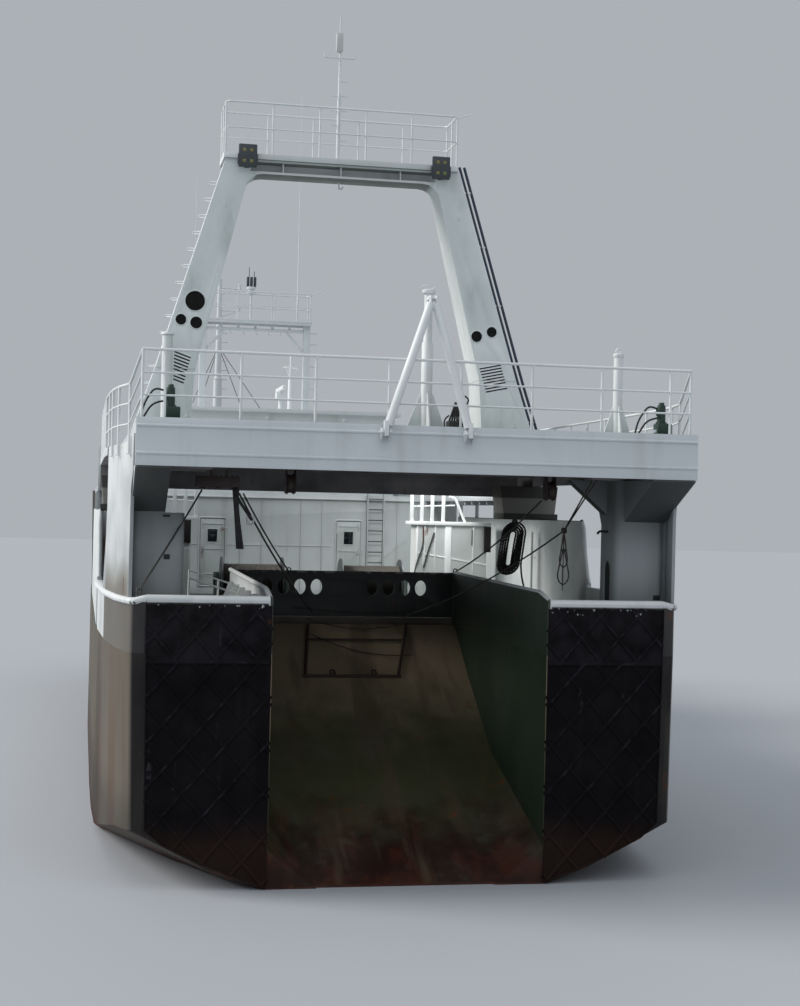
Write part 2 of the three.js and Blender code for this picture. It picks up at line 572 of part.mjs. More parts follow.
// Stern rail on the gantry deck, and a lower rail along each side that joins it at the corner. Its
// aft posts stand beside the side plate and its forward posts on the shelf
const STERN_RAIL = { half: 4610, corner: 4250, y: STERN_Y + 170, heights: [RAIL_HEIGHT, 720, 360] };
const SIDE_RAIL_HEIGHTS = [960, 640, 300];
const besidePlate = [[4775, -18400], [4932, -17600], [5018, -16740]];
const onShelf = [[5055, -15880], [5090, -14500], [5090, GANTRY_DECK.forwardY - 120]];
const sideRail = join([
  railing([onShelf], SHELF.z1, SIDE_RAIL_HEIGHTS, 1230),
  ...besidePlate.flatMap(([x, y], i) => {
    const [nextX, nextY] = [...besidePlate, onShelf[0]][i + 1];
    return [
      bar([x, y, SHELF.z1 - 200], [x, y, SHELF.z1 + SIDE_RAIL_HEIGHTS[0]], RAIL_RADIUS, RAIL_SIDES),
      ...SIDE_RAIL_HEIGHTS.map((height) => bar([x, y, SHELF.z1 + height],
        [nextX, nextY, SHELF.z1 + height], RAIL_RADIUS, RAIL_SIDES)),
    ];
  }),
  ...SIDE_RAIL_HEIGHTS.map((height, i) => bar(
    [STERN_RAIL.half, STERN_RAIL.y, GANTRY_DECK_Z + STERN_RAIL.heights[i]],
    [...besidePlate[0], SHELF.z1 + height], RAIL_RADIUS, RAIL_SIDES)),
]);
const sternRail = railing([[
  [-STERN_RAIL.half, STERN_RAIL.y], [-STERN_RAIL.corner, STERN_RAIL.y], [STERN_RAIL.corner, STERN_RAIL.y],
  [STERN_RAIL.half, STERN_RAIL.y],
]], GANTRY_DECK_Z, STERN_RAIL.heights, 1214);
add('gantry_deck_rail', join([sternRail, sideRail, mirrored(sideRail)]), 'white');

// A-frame: two tubes pinned at the fascia that meet in two lugs at the head
const FRAME_HEAD = { x: 100, y: STERN_Y + 170, z: 9750, lug: 60 };
const FRAME_TUBE = 70;
function aFrame() {
  const pieces = [];
  for (const side of [-1, 1]) {
    const foot = [side * FRAME_FOOT.x, FRAME_FOOT.y, FRAME_FOOT.z];
    const above = [side * FRAME_FOOT.x - side * 30, FRAME_FOOT.y + 20, FRAME_FOOT.z + 110];
    pieces.push(bar(above, [FRAME_HEAD.x + side * 45, FRAME_HEAD.y, FRAME_HEAD.z], FRAME_TUBE, 10));
    const eye = cut(
      draw('x', [
        [foot[1] - 60, foot[2] - 60], [foot[1] + 60, foot[2] - 60], [foot[1] + 75, foot[2] + 190],
        [foot[1] - 45, foot[2] + 190],
      ], foot[0] - 38, foot[0] + 38),
      [bar([foot[0] - 60, foot[1], foot[2]], [foot[0] + 60, foot[1], foot[2]], FRAME_FOOT.pin + 2 * SEAT_GAP, 24)],
    );
    pieces.push(eye);
  }
  for (const side of [-1, 1]) {
    const x = FRAME_HEAD.x + side * 50;
    pieces.push(block(x - 14, x + 14, FRAME_HEAD.y - FRAME_HEAD.lug, FRAME_HEAD.y + FRAME_HEAD.lug,
      FRAME_HEAD.z - 80, FRAME_HEAD.z + 130));
  }
  return join(pieces);
}
add('a_frame', aFrame(), 'white');

// Centre post behind the A-frame, thicker below, on four gussets, with a capped head
const CENTRE_POST = { x: 85, y: STERN_Y + 500, z1: 10020 };
function gussets(x, y, z, reach, height, thick) {
  const outline = [[-reach, z], [reach, z], [reach * 0.35, z + height], [-reach * 0.35, z + height]];
  return [
    draw('y', swap(outline.map(([u, v]) => [x + u, v])), y - thick / 2, y + thick / 2),
    draw('x', outline.map(([u, v]) => [y + u, v]), x - thick / 2, x + thick / 2),
  ];
}
add('centre_post', join([
  frustum(CENTRE_POST.x, CENTRE_POST.y, GANTRY_DECK_Z, 9150, 95, 95),
  frustum(CENTRE_POST.x, CENTRE_POST.y, 9150 - 5, CENTRE_POST.z1, 70, 70),
  frustum(CENTRE_POST.x, CENTRE_POST.y, CENTRE_POST.z1 - 60, CENTRE_POST.z1, 110, 110),
  block(CENTRE_POST.x - 40, FRAME_HEAD.x + 90, FRAME_HEAD.y + FRAME_HEAD.lug + SEAT_GAP, CENTRE_POST.y,
    FRAME_HEAD.z + 80, FRAME_HEAD.z + 140),
  ...gussets(CENTRE_POST.x, CENTRE_POST.y, GANTRY_DECK_Z, 320, 560, 24),
]), 'white');

// Lead post to starboard, with a lifting eye on its head
const SIDE_POST = { x: 3490, y: STERN_Y + 700, z1: 9090 };
add('starboard_lead_post', join([
  frustum(SIDE_POST.x, SIDE_POST.y, GANTRY_DECK_Z, SIDE_POST.z1, 80, 80),
  frustum(SIDE_POST.x, SIDE_POST.y, SIDE_POST.z1 - 40, SIDE_POST.z1 + 20, 95, 95),
  new THREE.TorusGeometry(45, 14, 6, 12).rotateX(Math.PI / 2).translate(SIDE_POST.x, SIDE_POST.y,
    SIDE_POST.z1 + 70),
  ...gussets(SIDE_POST.x, SIDE_POST.y, GANTRY_DECK_Z, 240, 480, 24),
]), 'white');

// Stern gantry: two tapered box legs, a channel crossbeam between them and a catwalk on top.
// Leg sections, columns: z, outer half width, leg width, fore-and-aft depth
const LEG = [
  [GANTRY_DECK_Z, 4560, 1280, 1150],
  [9300, 4030, 860, 1000],
  [13940, 2610, 600, 800],
];
const CATWALK = { x0: -2660, x1: 2560, y0: GANTRY_Y - 60, y1: GANTRY_Y + 1060, z0: 13930, z1: 14050 };
const CROSSBEAM = { z0: 13630, z1: 13935, flange: 50, y0: GANTRY_Y + 15, y1: GANTRY_Y + 650 };
const KNEE = { reach: 300, drop: 470, root: 80 };
function legGeometry() {
  return loft(LEG.map(([z, outer, width, depth]) => [
    [outer - width, GANTRY_Y, z], [outer, GANTRY_Y, z], [outer, GANTRY_Y + depth, z],
    [outer - width, GANTRY_Y + depth, z],
  ]));
}
const legRise = (z) => {
  const [low, high] = LEG.slice(1).reduce((pair, row) => (z > pair[1][0] ? [pair[1], row] : pair),
    [LEG[0], LEG[1]]);
  const t = (z - low[0]) / (high[0] - low[0]);
  return low.map((value, i) => value + (high[i] - value) * t);
};

// Exhaust mouths and louvres in the aft faces. Mouth columns: x, z, radius. Louvre columns: x and z
// of the top slat, x and z of the bottom slat, half width of each, and their lean
const MOUTHS = [
  [-3204, 10780, 215], [-3500, 10365, 117], [-3169, 10310, 130], [3090, 10276, 125], [3434, 10390, 117],
];
const LOUVRES = [[-3450, 9604, -3520, 9030, 190, 120, 0.33], [3418, 9607, 3578, 9095, 250, 250, -0.21]];
const SLATS = { count: 9, slot: 36, depth: 70 };
const mouths = MOUTHS.map(([x, z, radius]) => (
  new THREE.CylinderGeometry(radius, radius, 160, 20).translate(x, GANTRY_Y, z)));
const louvres = LOUVRES.flatMap(([x0, z0, x1, z1, half0, half1, lean]) => (
  Array.from({ length: SLATS.count }, (_, i) => {
    const t = i / (SLATS.count - 1);
    const half = half0 + (half1 - half0) * t;
    return new THREE.BoxGeometry(half * 2, SLATS.depth * 2, SLATS.slot)
      .rotateY(lean).translate(x0 + (x1 - x0) * t, GANTRY_Y, z0 + (z1 - z0) * t);
  })));

function gantryGeometry() {
  const { z0, z1, flange, y0, y1 } = CROSSBEAM;
  const webY = GANTRY_Y + 330;
  const innerAt = (z) => {
    const [, outer, width] = legRise(z);
    return outer - width;
  };
  const inner = innerAt(z0);
  const arc = Array.from({ length: 6 }, (_, i) => (i / 5) * (Math.PI / 2));
  const foot = innerAt(z0 - KNEE.drop);
  const knees = [-1, 1].map((side) => draw('y', swap([
    [side * (inner + KNEE.root), z0 + 20], [side * (inner - KNEE.reach), z0 + 20],
    ...arc.map((angle) => [
      side * (inner - KNEE.reach + (foot - inner + KNEE.reach) * Math.sin(angle)),
      z0 - KNEE.drop * (1 - Math.cos(angle)),
    ]),
    [side * (foot + KNEE.root), z0 - KNEE.drop],
  ]), y0, y1));
  const pieces = [
    legGeometry(), mirrored(legGeometry()), ...knees,
    block(-inner - 100, inner + 100, y0, y1, z0, z0 + flange),
    block(-inner - 100, inner + 100, y0, y1, z1 - flange, z1),
    block(-inner - 100, inner + 100, webY, webY + 260, z0, z1),
    block(CATWALK.x0, CATWALK.x1, CATWALK.y0, CATWALK.y1, CATWALK.z0, CATWALK.z1),
    bar([-60, GANTRY_Y + 380, z0 - 170], [-60, GANTRY_Y + 380, z0 + 10], 15, 6),
  ];
  for (const x of [-1344, -61, 1280]) {
    pieces.push(block(x - 12, x + 12, GANTRY_Y + 60, webY + 10, z0 + 20, z1 - 20));
  }
  return cut(join(pieces), [...mouths, ...louvres]);
}
const RUNG = { pitch: 370, reach: 150, radius: 15, from: 8990, to: 13500 };
function legRungs(side, y) {
  const rungs = [];
  for (let z = RUNG.from; z < RUNG.to; z += RUNG.pitch) {
    const [, outer] = legRise(z);
    const out = side * (outer + RUNG.reach);
    const foot = side * (outer - 40);
    rungs.push(bar([foot, y - 170, z], [out, y - 170, z], RUNG.radius, 6));
    rungs.push(bar([foot, y + 170, z], [out, y + 170, z], RUNG.radius, 6));
    rungs.push(bar([out, y - 185, z], [out, y + 185, z], RUNG.radius, 6));
  }
  return rungs;
}
add('stern_gantry', join([gantryGeometry(), ...legRungs(-1, GANTRY_Y + 400)]), 'white');

// Pair of pipes up the outer edge of the starboard leg
const pipes = [0, 110].map((shift) => {
  const low = legRise(GANTRY_DECK_Z + 60);
  const high = legRise(14070);
  return bar([low[1] + 60 + shift, GANTRY_Y + 120, low[0]], [high[1] + 60 + shift, GANTRY_Y + 120, high[0]],
    32, 8);
});
const pipeClips = [8400, 9700, 11000, 12300, 13500].map((z) => {
  const [, below] = legRise(z - 25);
  const [, above] = legRise(z + 25);
  return draw('y', swap([
    [below + SEAT_GAP, z - 25], [below + 190, z - 25], [below + 190, z + 25], [above + SEAT_GAP, z + 25],
  ]), GANTRY_Y + 95, GANTRY_Y + 145);
});
add('gantry_pipes', join([...pipes, ...pipeClips]), 'dark');

const catwalkRail = { x0: CATWALK.x0 + 30, x1: CATWALK.x1 - 30, y0: CATWALK.y0 + 30, y1: CATWALK.y1 - 30 };
const CATWALK_RAIL_HEIGHTS = [1115, 555];
add('gantry_rail', join([
  railing([[
    [catwalkRail.x0, catwalkRail.y0], [catwalkRail.x1, catwalkRail.y0], [catwalkRail.x1, catwalkRail.y1],
    [catwalkRail.x0, catwalkRail.y1], [catwalkRail.x0, catwalkRail.y0],
  ]], CATWALK.z1, CATWALK_RAIL_HEIGHTS, 1030),
  bar([catwalkRail.x1, catwalkRail.y0, CATWALK.z1 + 1075], [catwalkRail.x1 + 300, catwalkRail.y0,
    CATWALK.z1 + 1185], 12, 6),
]), 'white');

// Mast on the catwalk, with a yard, a boxed aerial and rungs. Rung columns: z, reach to port, to starboard
const GANTRY_MAST = { x: -80, y: GANTRY_Y + 500, z1: 17350, yardZ: 16420, yard: 340 };
const MAST_RUNGS = [[14570, 0, 190], [14920, 190, 0], [15240, 190, 190], [15570, 190, 190], [15900, 0, 190]];
const mastYard = [-GANTRY_MAST.yard, GANTRY_MAST.yard].map((reach) => bar(
  [GANTRY_MAST.x + reach, GANTRY_MAST.y, GANTRY_MAST.yardZ],
  [GANTRY_MAST.x + reach, GANTRY_MAST.y, GANTRY_MAST.yardZ + 120], 12, 6));
add('gantry_mast', join([
  frustum(GANTRY_MAST.x, GANTRY_MAST.y, CATWALK.z1, 15600, 42, 36, 10),
  frustum(GANTRY_MAST.x, GANTRY_MAST.y, 15590, GANTRY_MAST.z1, 26, 14, 8),
  block(GANTRY_MAST.x - 90, GANTRY_MAST.x + 60, GANTRY_MAST.y - 60, GANTRY_MAST.y + 60, 16560, 16980),
  bar([GANTRY_MAST.x - GANTRY_MAST.yard, GANTRY_MAST.y, GANTRY_MAST.yardZ],
    [GANTRY_MAST.x + GANTRY_MAST.yard, GANTRY_MAST.y, GANTRY_MAST.yardZ], 16, 6),
  ...mastYard,
  ...MAST_RUNGS.map(([z, port, starboard]) => bar([GANTRY_MAST.x - port, GANTRY_MAST.y, z],
    [GANTRY_MAST.x + starboard, GANTRY_MAST.y, z], 12, 6)),
]), 'grey');

// Floodlights under the ends of the catwalk
const FLOODLIGHT = { x: 2150, z0: 13700, z1: 14240, half: 220, y0: GANTRY_Y - 250, y1: GANTRY_Y - 90 };
const floodlight = join([
  block(FLOODLIGHT.x - FLOODLIGHT.half, FLOODLIGHT.x + FLOODLIGHT.half, FLOODLIGHT.y0, FLOODLIGHT.y1,
    FLOODLIGHT.z0, FLOODLIGHT.z1),
  block(FLOODLIGHT.x - 50, FLOODLIGHT.x + 70, FLOODLIGHT.y1 - 10, GANTRY_Y - SEAT_GAP, FLOODLIGHT.z0 + 30,
    FLOODLIGHT.z0 + 170),
]);
addPair('floodlight', floodlight, 'black');

// Vent pipe beside the port leg
const VENT = { x: -3800, y: GANTRY_Y - 480, z1: 9980 };
add('port_vent_pipe', join([
  frustum(VENT.x, VENT.y, GANTRY_DECK_Z, VENT.z1, 115, 115),
  frustum(VENT.x, VENT.y, VENT.z1 - 20, VENT.z1 + 30, 138, 138),
]), 'white');

// Upright hydraulic motors at the aft corners of the gantry deck. Columns: name, x
const CORNER_MOTOR = { y: -18350, base: 130, foot: 200 };
for (const [name, x] of [['port', -4080], ['starboard', 4480]]) {
  const { y, base, foot } = CORNER_MOTOR;
  add(`${name}_corner_motor`, join([
    block(x - foot, x + foot - 50, y - foot, y + foot, GANTRY_DECK_Z, GANTRY_DECK_Z + 30),
    block(x - base, x + base, y - base, y + base, GANTRY_DECK_Z + 20, GANTRY_DECK_Z + 240),
    frustum(x - 30, y, GANTRY_DECK_Z + 230, GANTRY_DECK_Z + 560, 75, 75),
    frustum(x - 30, y, GANTRY_DECK_Z + 550, GANTRY_DECK_Z + 610, 50, 50),
  ]), 'green');
}

// A drum on a cross shaft, for the winches
function drum(x0, x1, y, z, core, flange, bearing, sides = 20) {
  const wide = 30;
  const overhang = bearing - SEAT_GAP;
  return join([
    bar([x0 - overhang, y, z], [x1 + overhang, y, z], core * 0.35, 12),
    bar([x0, y, z], [x1, y, z], core, sides),
    bar([x0, y, z], [x0 + wide, y, z], flange, sides),
    bar([x1 - wide, y, z], [x1, y, z], flange, sides),
  ]);
}

// Side walls from the quarter opening to the deckhouse, with a curved aft edge
const SIDE_WALL = { x: HALF_BEAM - 20, z1: 6200, endY: -60 };
const sideWall = draw('x', [
  [BULWARK_END_Y + SEAT_GAP, WORK_DECK_Z], [SIDE_WALL.endY, WORK_DECK_Z], [SIDE_WALL.endY, SIDE_WALL.z1],
  [BULWARK_END_Y + 620, SIDE_WALL.z1], [BULWARK_END_Y + 470, 6050], [BULWARK_END_Y + 330, 5500],
  [BULWARK_END_Y + 130, 5020], [BULWARK_END_Y + SEAT_GAP, 4850],
], SIDE_WALL.x - PLATE, SIDE_WALL.x);

// Box bracket between each side wall and the gantry deck, under the gantry's leg, on a base plate
const BRACKET = { y0: -9850, y1: -9050, z0: 6190, baseTop: 6330, low: [3875, 5040], high: [3760, 5120] };
const bracket = join([
  draw('y', swap([
    [BRACKET.low[0], BRACKET.z0], [BRACKET.low[1], BRACKET.z0], [BRACKET.high[1], GANTRY_DECK_UNDER_Z - SEAT_GAP],
    [BRACKET.high[0], GANTRY_DECK_UNDER_Z - SEAT_GAP],
  ]), BRACKET.y0, BRACKET.y1),
  block(BRACKET.low[0] - 25, SIDE_WALL.x - 60, BRACKET.y0 - 20, BRACKET.y1 + 20, BRACKET.z0, BRACKET.baseTop),
]);
const walledSide = join([sideWall, bracket]);
add('starboard_side_wall', walledSide, 'white');

// The port side wall has a web across its aft end, where the ring fender hangs
const PORT_WEB = { x0: -SIDE_WALL.x, x1: -4450, y: BULWARK_END_Y + 640, z0: BULWARK_TOP_Z + 60 };
const portWeb = block(PORT_WEB.x0, PORT_WEB.x1, PORT_WEB.y, PORT_WEB.y + 60, WORK_DECK_Z, SIDE_WALL.z1);
add('port_side_wall', join([mirrored(walledSide), portWeb]), 'white');

// Gangways from the gantry deck forward, on posts that stand on the side walls
const GANGWAY = { x0: 4100, x1: 5160, y0: GANTRY_DECK.forwardY + SEAT_GAP, y1: -60, thick: 130 };
const gangwayPosts = [-8150, -6200, -4200, -2200, -300].map((y) => block(SIDE_WALL.x - PLATE, SIDE_WALL.x - 20,
  y, y + 80, SIDE_WALL.z1, UPPER_DECK_Z - GANGWAY.thick + 20));
const gangwayWall = block(GANGWAY.x0, GANGWAY.x1, GANGWAY.y0, GANGWAY.y0 + 60, UPPER_DECK_Z - 20,
  SHELF.z0);
const gangwayRail = railing([[[5080, GANGWAY.y0 + 100], [5080, GANGWAY.y1 - 60]]], UPPER_DECK_Z - 30,
  [1030, 690, 360], 1300);
addPair('gangway', join([
  block(GANGWAY.x0, GANGWAY.x1, GANGWAY.y0, GANGWAY.y1, UPPER_DECK_Z - GANGWAY.thick, UPPER_DECK_Z),
  gangwayWall, gangwayRail, ...gangwayPosts,
]), 'grey');

// Deckhouse across the ship, hollow, with two doorways in its aft bulkhead
const HOUSE = { y0: 0, y1: 6000, half: 5050, wall: 100, roof: 120 };
const DOOR = { x0: 1580, x1: 2260, z0: WORK_DECK_Z + 250, z1: WORK_DECK_Z + 2100, thick: 60 };
function deckhouse() {
  const { y0, y1, half, wall, roof } = HOUSE;
  const outer = block(-half, half, y0, y1, WORK_DECK_Z, UPPER_DECK_Z);
  const room = block(-half + wall, half - wall, y0 + wall, y1 - wall, WORK_DECK_Z - 10, UPPER_DECK_Z - roof);
  const doorways = [-1, 1].map((side) => {
    const [a, b] = [side * DOOR.x0, side * DOOR.x1].sort((u, v) => u - v);
    return block(a, b, y0 - 10, y0 + wall + 10, DOOR.z0, DOOR.z1);
  });
  return cut(outer, [room, ...doorways]);
}

// Ladder on its aft bulkhead, and the rails at its sides
const LADDER = { x: 2660, half: 230, y: -170, z0: WORK_DECK_Z, z1: 7500 };
const ladderRungs = Array.from({ length: 10 }, (_, i) => bar([LADDER.x - LADDER.half, LADDER.y, 4250 + i * 300],
  [LADDER.x + LADDER.half, LADDER.y, 4250 + i * 300], 14, 6));
const deckhouseLadder = join([
  ...[-1, 1].map((side) => block(LADDER.x + side * LADDER.half - 15, LADDER.x + side * LADDER.half + 15,
    LADDER.y - 35, LADDER.y + 35, LADDER.z0, LADDER.z1)),
  ...ladderRungs,
  ...[4600, 6300].flatMap((z) => [-1, 1].map((side) => block(LADDER.x + side * LADDER.half - 12,
    LADDER.x + side * LADDER.half + 12, LADDER.y + 30, 10, z - 20, z + 20))),
]);
const houseRail = railing([[[4990, 100], [4990, 5900]]], UPPER_DECK_Z - 30, [1030, 690, 360], 1300);
add('deckhouse', join([deckhouse(), deckhouseLadder, houseRail, mirrored(houseRail)]), 'white');

// Two barrels that carry a door, on an upright axis
function hingeBarrels(x, y, z0, z1) {
  return [z0 + 250, z1 - 370].map((z) => frustum(x, y, z, z + 120, HINGE_RADIUS, HINGE_RADIUS));
}

// A leaf with its hinge on the inboard side, standing in a doorway that faces aft
function aftDoor(side) {
  const gap = RUNNING_GAP;
  const [a, b] = [side * DOOR.x0, side * DOOR.x1].sort((u, v) => u - v);
  const leaf = block(a + gap, b - gap, HOUSE.y0 - 15, HOUSE.y0 + DOOR.thick - 15, DOOR.z0 + gap, DOOR.z1 - gap);
  const light = block((a + b) / 2 - 130, (a + b) / 2 + 130, HOUSE.y0 - 50, HOUSE.y0 + 100, DOOR.z1 - 650,
    DOOR.z1 - 300);
  const handle = bar([side * (DOOR.x1 - 90), HOUSE.y0 - 60, DOOR.z0 + 950],
    [side * (DOOR.x1 - 90), HOUSE.y0, DOOR.z0 + 950], 16, 8);
  const barrels = hingeBarrels(side * (DOOR.x0 - 5), HOUSE.y0 - HINGE_RADIUS - SEAT_GAP, DOOR.z0, DOOR.z1);
  return join([cut(leaf, [light]), handle, ...barrels]);
}
add('port_aft_door', aftDoor(-1), 'white');
add('starboard_aft_door', aftDoor(1), 'white');

// Casings each side of the working deck, capped
const CASING = { x0: 2840, x1: 4700, y0: -5000, y1: -4350, z1: 6080 };
const casing = join([
  block(CASING.x0, CASING.x1, CASING.y0, CASING.y1, WORK_DECK_Z, CASING.z1 - 80),
  block(CASING.x0 - 150, CASING.x1 + 90, CASING.y0 - 60, CASING.y1, CASING.z1 - 90, CASING.z1),
]);
addPair('casing', casing, 'white');

// Forecastle: the raised bow, from the deckhouse to the stem
function forecastle() {
  const rings = [
    [6000 + SEAT_GAP, 6000 + SEAT_GAP, 5150, 5190], [10000, 10000, 4850, 5020], [13300, 13400, 4150, 4450],
    [15900, 16200, 3050, 3480], [17600, 18150, 1850, 2400], [18700, 19400, 420, 560],
  ].map(([yLow, yHigh, low, high]) => [
    [-high, yHigh, UPPER_DECK_Z], [-low, yLow, WORK_DECK_Z], [low, yLow, WORK_DECK_Z],
    [high, yHigh, UPPER_DECK_Z],
  ]);
  return loft(rings);
}
add('forecastle', forecastle(), 'hull');

// Bulwark round the bow, on the edge of the forecastle
const bowLine = [[4450, 13400], [3480, 16200], [2400, 18150], [560, 19400]];
const BOW_BULWARK_TOP = UPPER_DECK_Z + 950;
add('bow_bulwark', join([
  wallOnLine([...bowLine, [0, 19440]], 80, UPPER_DECK_Z, BOW_BULWARK_TOP),
  mirrored(wallOnLine([...bowLine, [0, 19440]], 80, UPPER_DECK_Z, BOW_BULWARK_TOP)),
]), 'white');

// Wheelhouse: hollow, with a band of windows all round and a roof that oversails it
const WHEELHOUSE = { y0: 2200, y1: 9200, half: 3600, wall: 90, roof: 110, eave: 160 };
const WINDOW = { z0: UPPER_DECK_Z + 1150, z1: UPPER_DECK_Z + 1950, width: 760 };
const SIDE_DOOR = { y0: 3000, y1: 3700, z0: UPPER_DECK_Z + 200, z1: UPPER_DECK_Z + 2050 };
function wheelhouse() {
  const { y0, y1, half, wall, roof, eave } = WHEELHOUSE;
  const under = ROOF_Z - roof;
  const shell = block(-half, half, y0, y1, UPPER_DECK_Z, under);
  const cap = block(-half - eave, half + eave, y0 - eave, y1 + eave, under - 1, ROOF_Z);
  const room = block(-half + wall, half - wall, y0 + wall, y1 - wall, UPPER_DECK_Z - 10, under - 60);
  const openings = [];
  for (const x of [-2900, -1940, -980, -20, 940, 1900]) {
    openings.push(block(x, x + WINDOW.width + 140, y1 - wall - 20, y1 + 20, WINDOW.z0, WINDOW.z1));
  }
  for (const x of [-2600, -380, 1840]) {
    openings.push(block(x, x + WINDOW.width, y0 - 20, y0 + wall + 20, WINDOW.z0, WINDOW.z1));
  }
  for (const side of [-1, 1]) {
    const [a, b] = [side * (half + 20), side * (half - wall - 20)].sort((u, v) => u - v);
    for (const y of [4300, 5500, 6700, 7900]) {
      openings.push(block(a, b, y, y + WINDOW.width + 100, WINDOW.z0, WINDOW.z1));
    }
    openings.push(block(a, b, SIDE_DOOR.y0, SIDE_DOOR.y1, SIDE_DOOR.z0, SIDE_DOOR.z1));
  }
  return cut(join([shell, cap]), [room, ...openings]);
}

// Light mast with a guard ring, to starboard on the wheelhouse roof
const LIGHT_MAST = { x: 1040, y: 7000 };
const lightMast = join([
  frustum(LIGHT_MAST.x, LIGHT_MAST.y, ROOF_Z - 20, 10500, 90, 80, 10),
  frustum(LIGHT_MAST.x, LIGHT_MAST.y, 10490, 11300, 40, 36, 8),
  new THREE.TorusGeometry(240, 14, 6, 16).translate(LIGHT_MAST.x, LIGHT_MAST.y, 10900),
  ...[0, 1, 2].map((i) => bar([LIGHT_MAST.x, LIGHT_MAST.y, 10460],
    [LIGHT_MAST.x + 240 * Math.cos(i * 2.094), LIGHT_MAST.y + 240 * Math.sin(i * 2.094), 10900], 12, 6)),
]);

// Radar on a pedestal on the wheelhouse roof, its scanner turning on an upright shaft
const RADAR = { x: 550, y: 5400, z: ROOF_Z + 700 };
const radarPedestal = join([
  frustum(RADAR.x, RADAR.y, ROOF_Z - 20, RADAR.z - 180, 90, 70),
  block(RADAR.x - 160, RADAR.x + 160, RADAR.y - 200, RADAR.y + 200, RADAR.z - 190, RADAR.z),
]);
add('wheelhouse', join([wheelhouse(), lightMast, radarPedestal]), 'white');

const sideDoorLeaf = join([cut(
  block(WHEELHOUSE.half - 45, WHEELHOUSE.half + 15, SIDE_DOOR.y0 + RUNNING_GAP, SIDE_DOOR.y1 - RUNNING_GAP,
    SIDE_DOOR.z0 + RUNNING_GAP, SIDE_DOOR.z1 - RUNNING_GAP),
  [block(WHEELHOUSE.half - 80, WHEELHOUSE.half + 60, SIDE_DOOR.y0 + 170, SIDE_DOOR.y1 - 170,
    SIDE_DOOR.z1 - 800, SIDE_DOOR.z1 - 200)],
), ...hingeBarrels(WHEELHOUSE.half + HINGE_RADIUS + SEAT_GAP, SIDE_DOOR.y1 + 5, SIDE_DOOR.z0, SIDE_DOOR.z1)]);
addPair('wheelhouse_door', sideDoorLeaf, 'white');

// Portal mast on the wheelhouse roof: two posts, an open truss beam, braces, and a railed platform
const PORTAL = { y: 8400, half: 1720, z1: 12550, lowerZ: 12220, platform: 1860, railHalf: 1800 };
const portalPosts = [-1, 1].map((side) => block(side * PORTAL.half - 110, side * PORTAL.half + 110,
  PORTAL.y - 110, PORTAL.y + 110, ROOF_Z, PORTAL.z1));
const portalHooks = [-830, -400, 30, 440, 830].map((x) => (
  bar([x, PORTAL.y, PORTAL.lowerZ - 160], [x, PORTAL.y, PORTAL.lowerZ], 16, 6)));
const portalRungs = Array.from({ length: 8 }, (_, i) => 9600 + i * 370).flatMap((z) => [
  bar([PORTAL.half, PORTAL.y - 80, z], [PORTAL.half + 230, PORTAL.y - 80, z], 12, 6),
  bar([PORTAL.half, PORTAL.y + 80, z], [PORTAL.half + 230, PORTAL.y + 80, z], 12, 6),
  bar([PORTAL.half + 220, PORTAL.y - 90, z], [PORTAL.half + 220, PORTAL.y + 90, z], 12, 6),
]);
const portalRailLine = [
  [-PORTAL.railHalf, PORTAL.y - 230], [PORTAL.railHalf, PORTAL.y - 230], [PORTAL.railHalf, PORTAL.y + 430],
  [-PORTAL.railHalf, PORTAL.y + 430], [-PORTAL.railHalf, PORTAL.y - 230],
];
const portalRail = join([
  railing([portalRailLine], PORTAL.z1 - 20, [930, 475], 1300, 20),
  bar([PORTAL.railHalf, PORTAL.y - 230, PORTAL.z1 + 850], [2250, PORTAL.y - 230, PORTAL.z1 + 1120], 14, 6),
]);

// Whip aerial near the starboard post of the portal, and a boxed aerial near its middle
const WHIP = { x: 1400, y: PORTAL.y + 100, z1: 20500 };
const whipAerial = [
  frustum(WHIP.x, WHIP.y, PORTAL.z1 - 20, PORTAL.z1 + 900, 30, 26, 8),
  frustum(WHIP.x, WHIP.y, PORTAL.z1 + 890, WHIP.z1, 16, 8, 6),
];
const AERIAL = { x: -155, y: PORTAL.y + 100, bandZ: 13440, boxZ: 13660, z1: 13990 };
const boxedAerial = [
  frustum(AERIAL.x, AERIAL.y, PORTAL.z1 - 20, AERIAL.bandZ + 10, 34, 34, 8),
  frustum(AERIAL.x, AERIAL.y, AERIAL.bandZ, AERIAL.boxZ + 10, 150, 150, 12),
  block(AERIAL.x - 155, AERIAL.x + 155, AERIAL.y - 100, AERIAL.y + 100, AERIAL.boxZ, AERIAL.z1),
  bar([AERIAL.x - 80, AERIAL.y, AERIAL.z1 - 20], [AERIAL.x - 80, AERIAL.y, AERIAL.z1 + 320], 12, 6),
  bar([AERIAL.x + 90, AERIAL.y, AERIAL.z1 - 20], [AERIAL.x + 90, AERIAL.y, AERIAL.z1 + 190], 12, 6),
];
add('portal_mast', join([
  ...portalPosts, ...portalHooks, ...portalRungs, portalRail, ...whipAerial, ...boxedAerial,
  block(-PORTAL.platform, PORTAL.platform, PORTAL.y - 260, PORTAL.y + 460, PORTAL.z1 - 60, PORTAL.z1),
  block(-PORTAL.half, PORTAL.half, PORTAL.y - 60, PORTAL.y + 60, PORTAL.lowerZ - 30, PORTAL.lowerZ + 60),
  ...[-1140, -570, 0, 570, 1140].map((x) => block(x - 40, x + 40, PORTAL.y - 40, PORTAL.y + 40,
    PORTAL.lowerZ, PORTAL.z1 - 30)),
  ...[-1, 1].map((side) => bar([side * 1000, PORTAL.y, PORTAL.lowerZ], [side * 1700, PORTAL.y, 11450], 45, 8)),
]), 'grey');

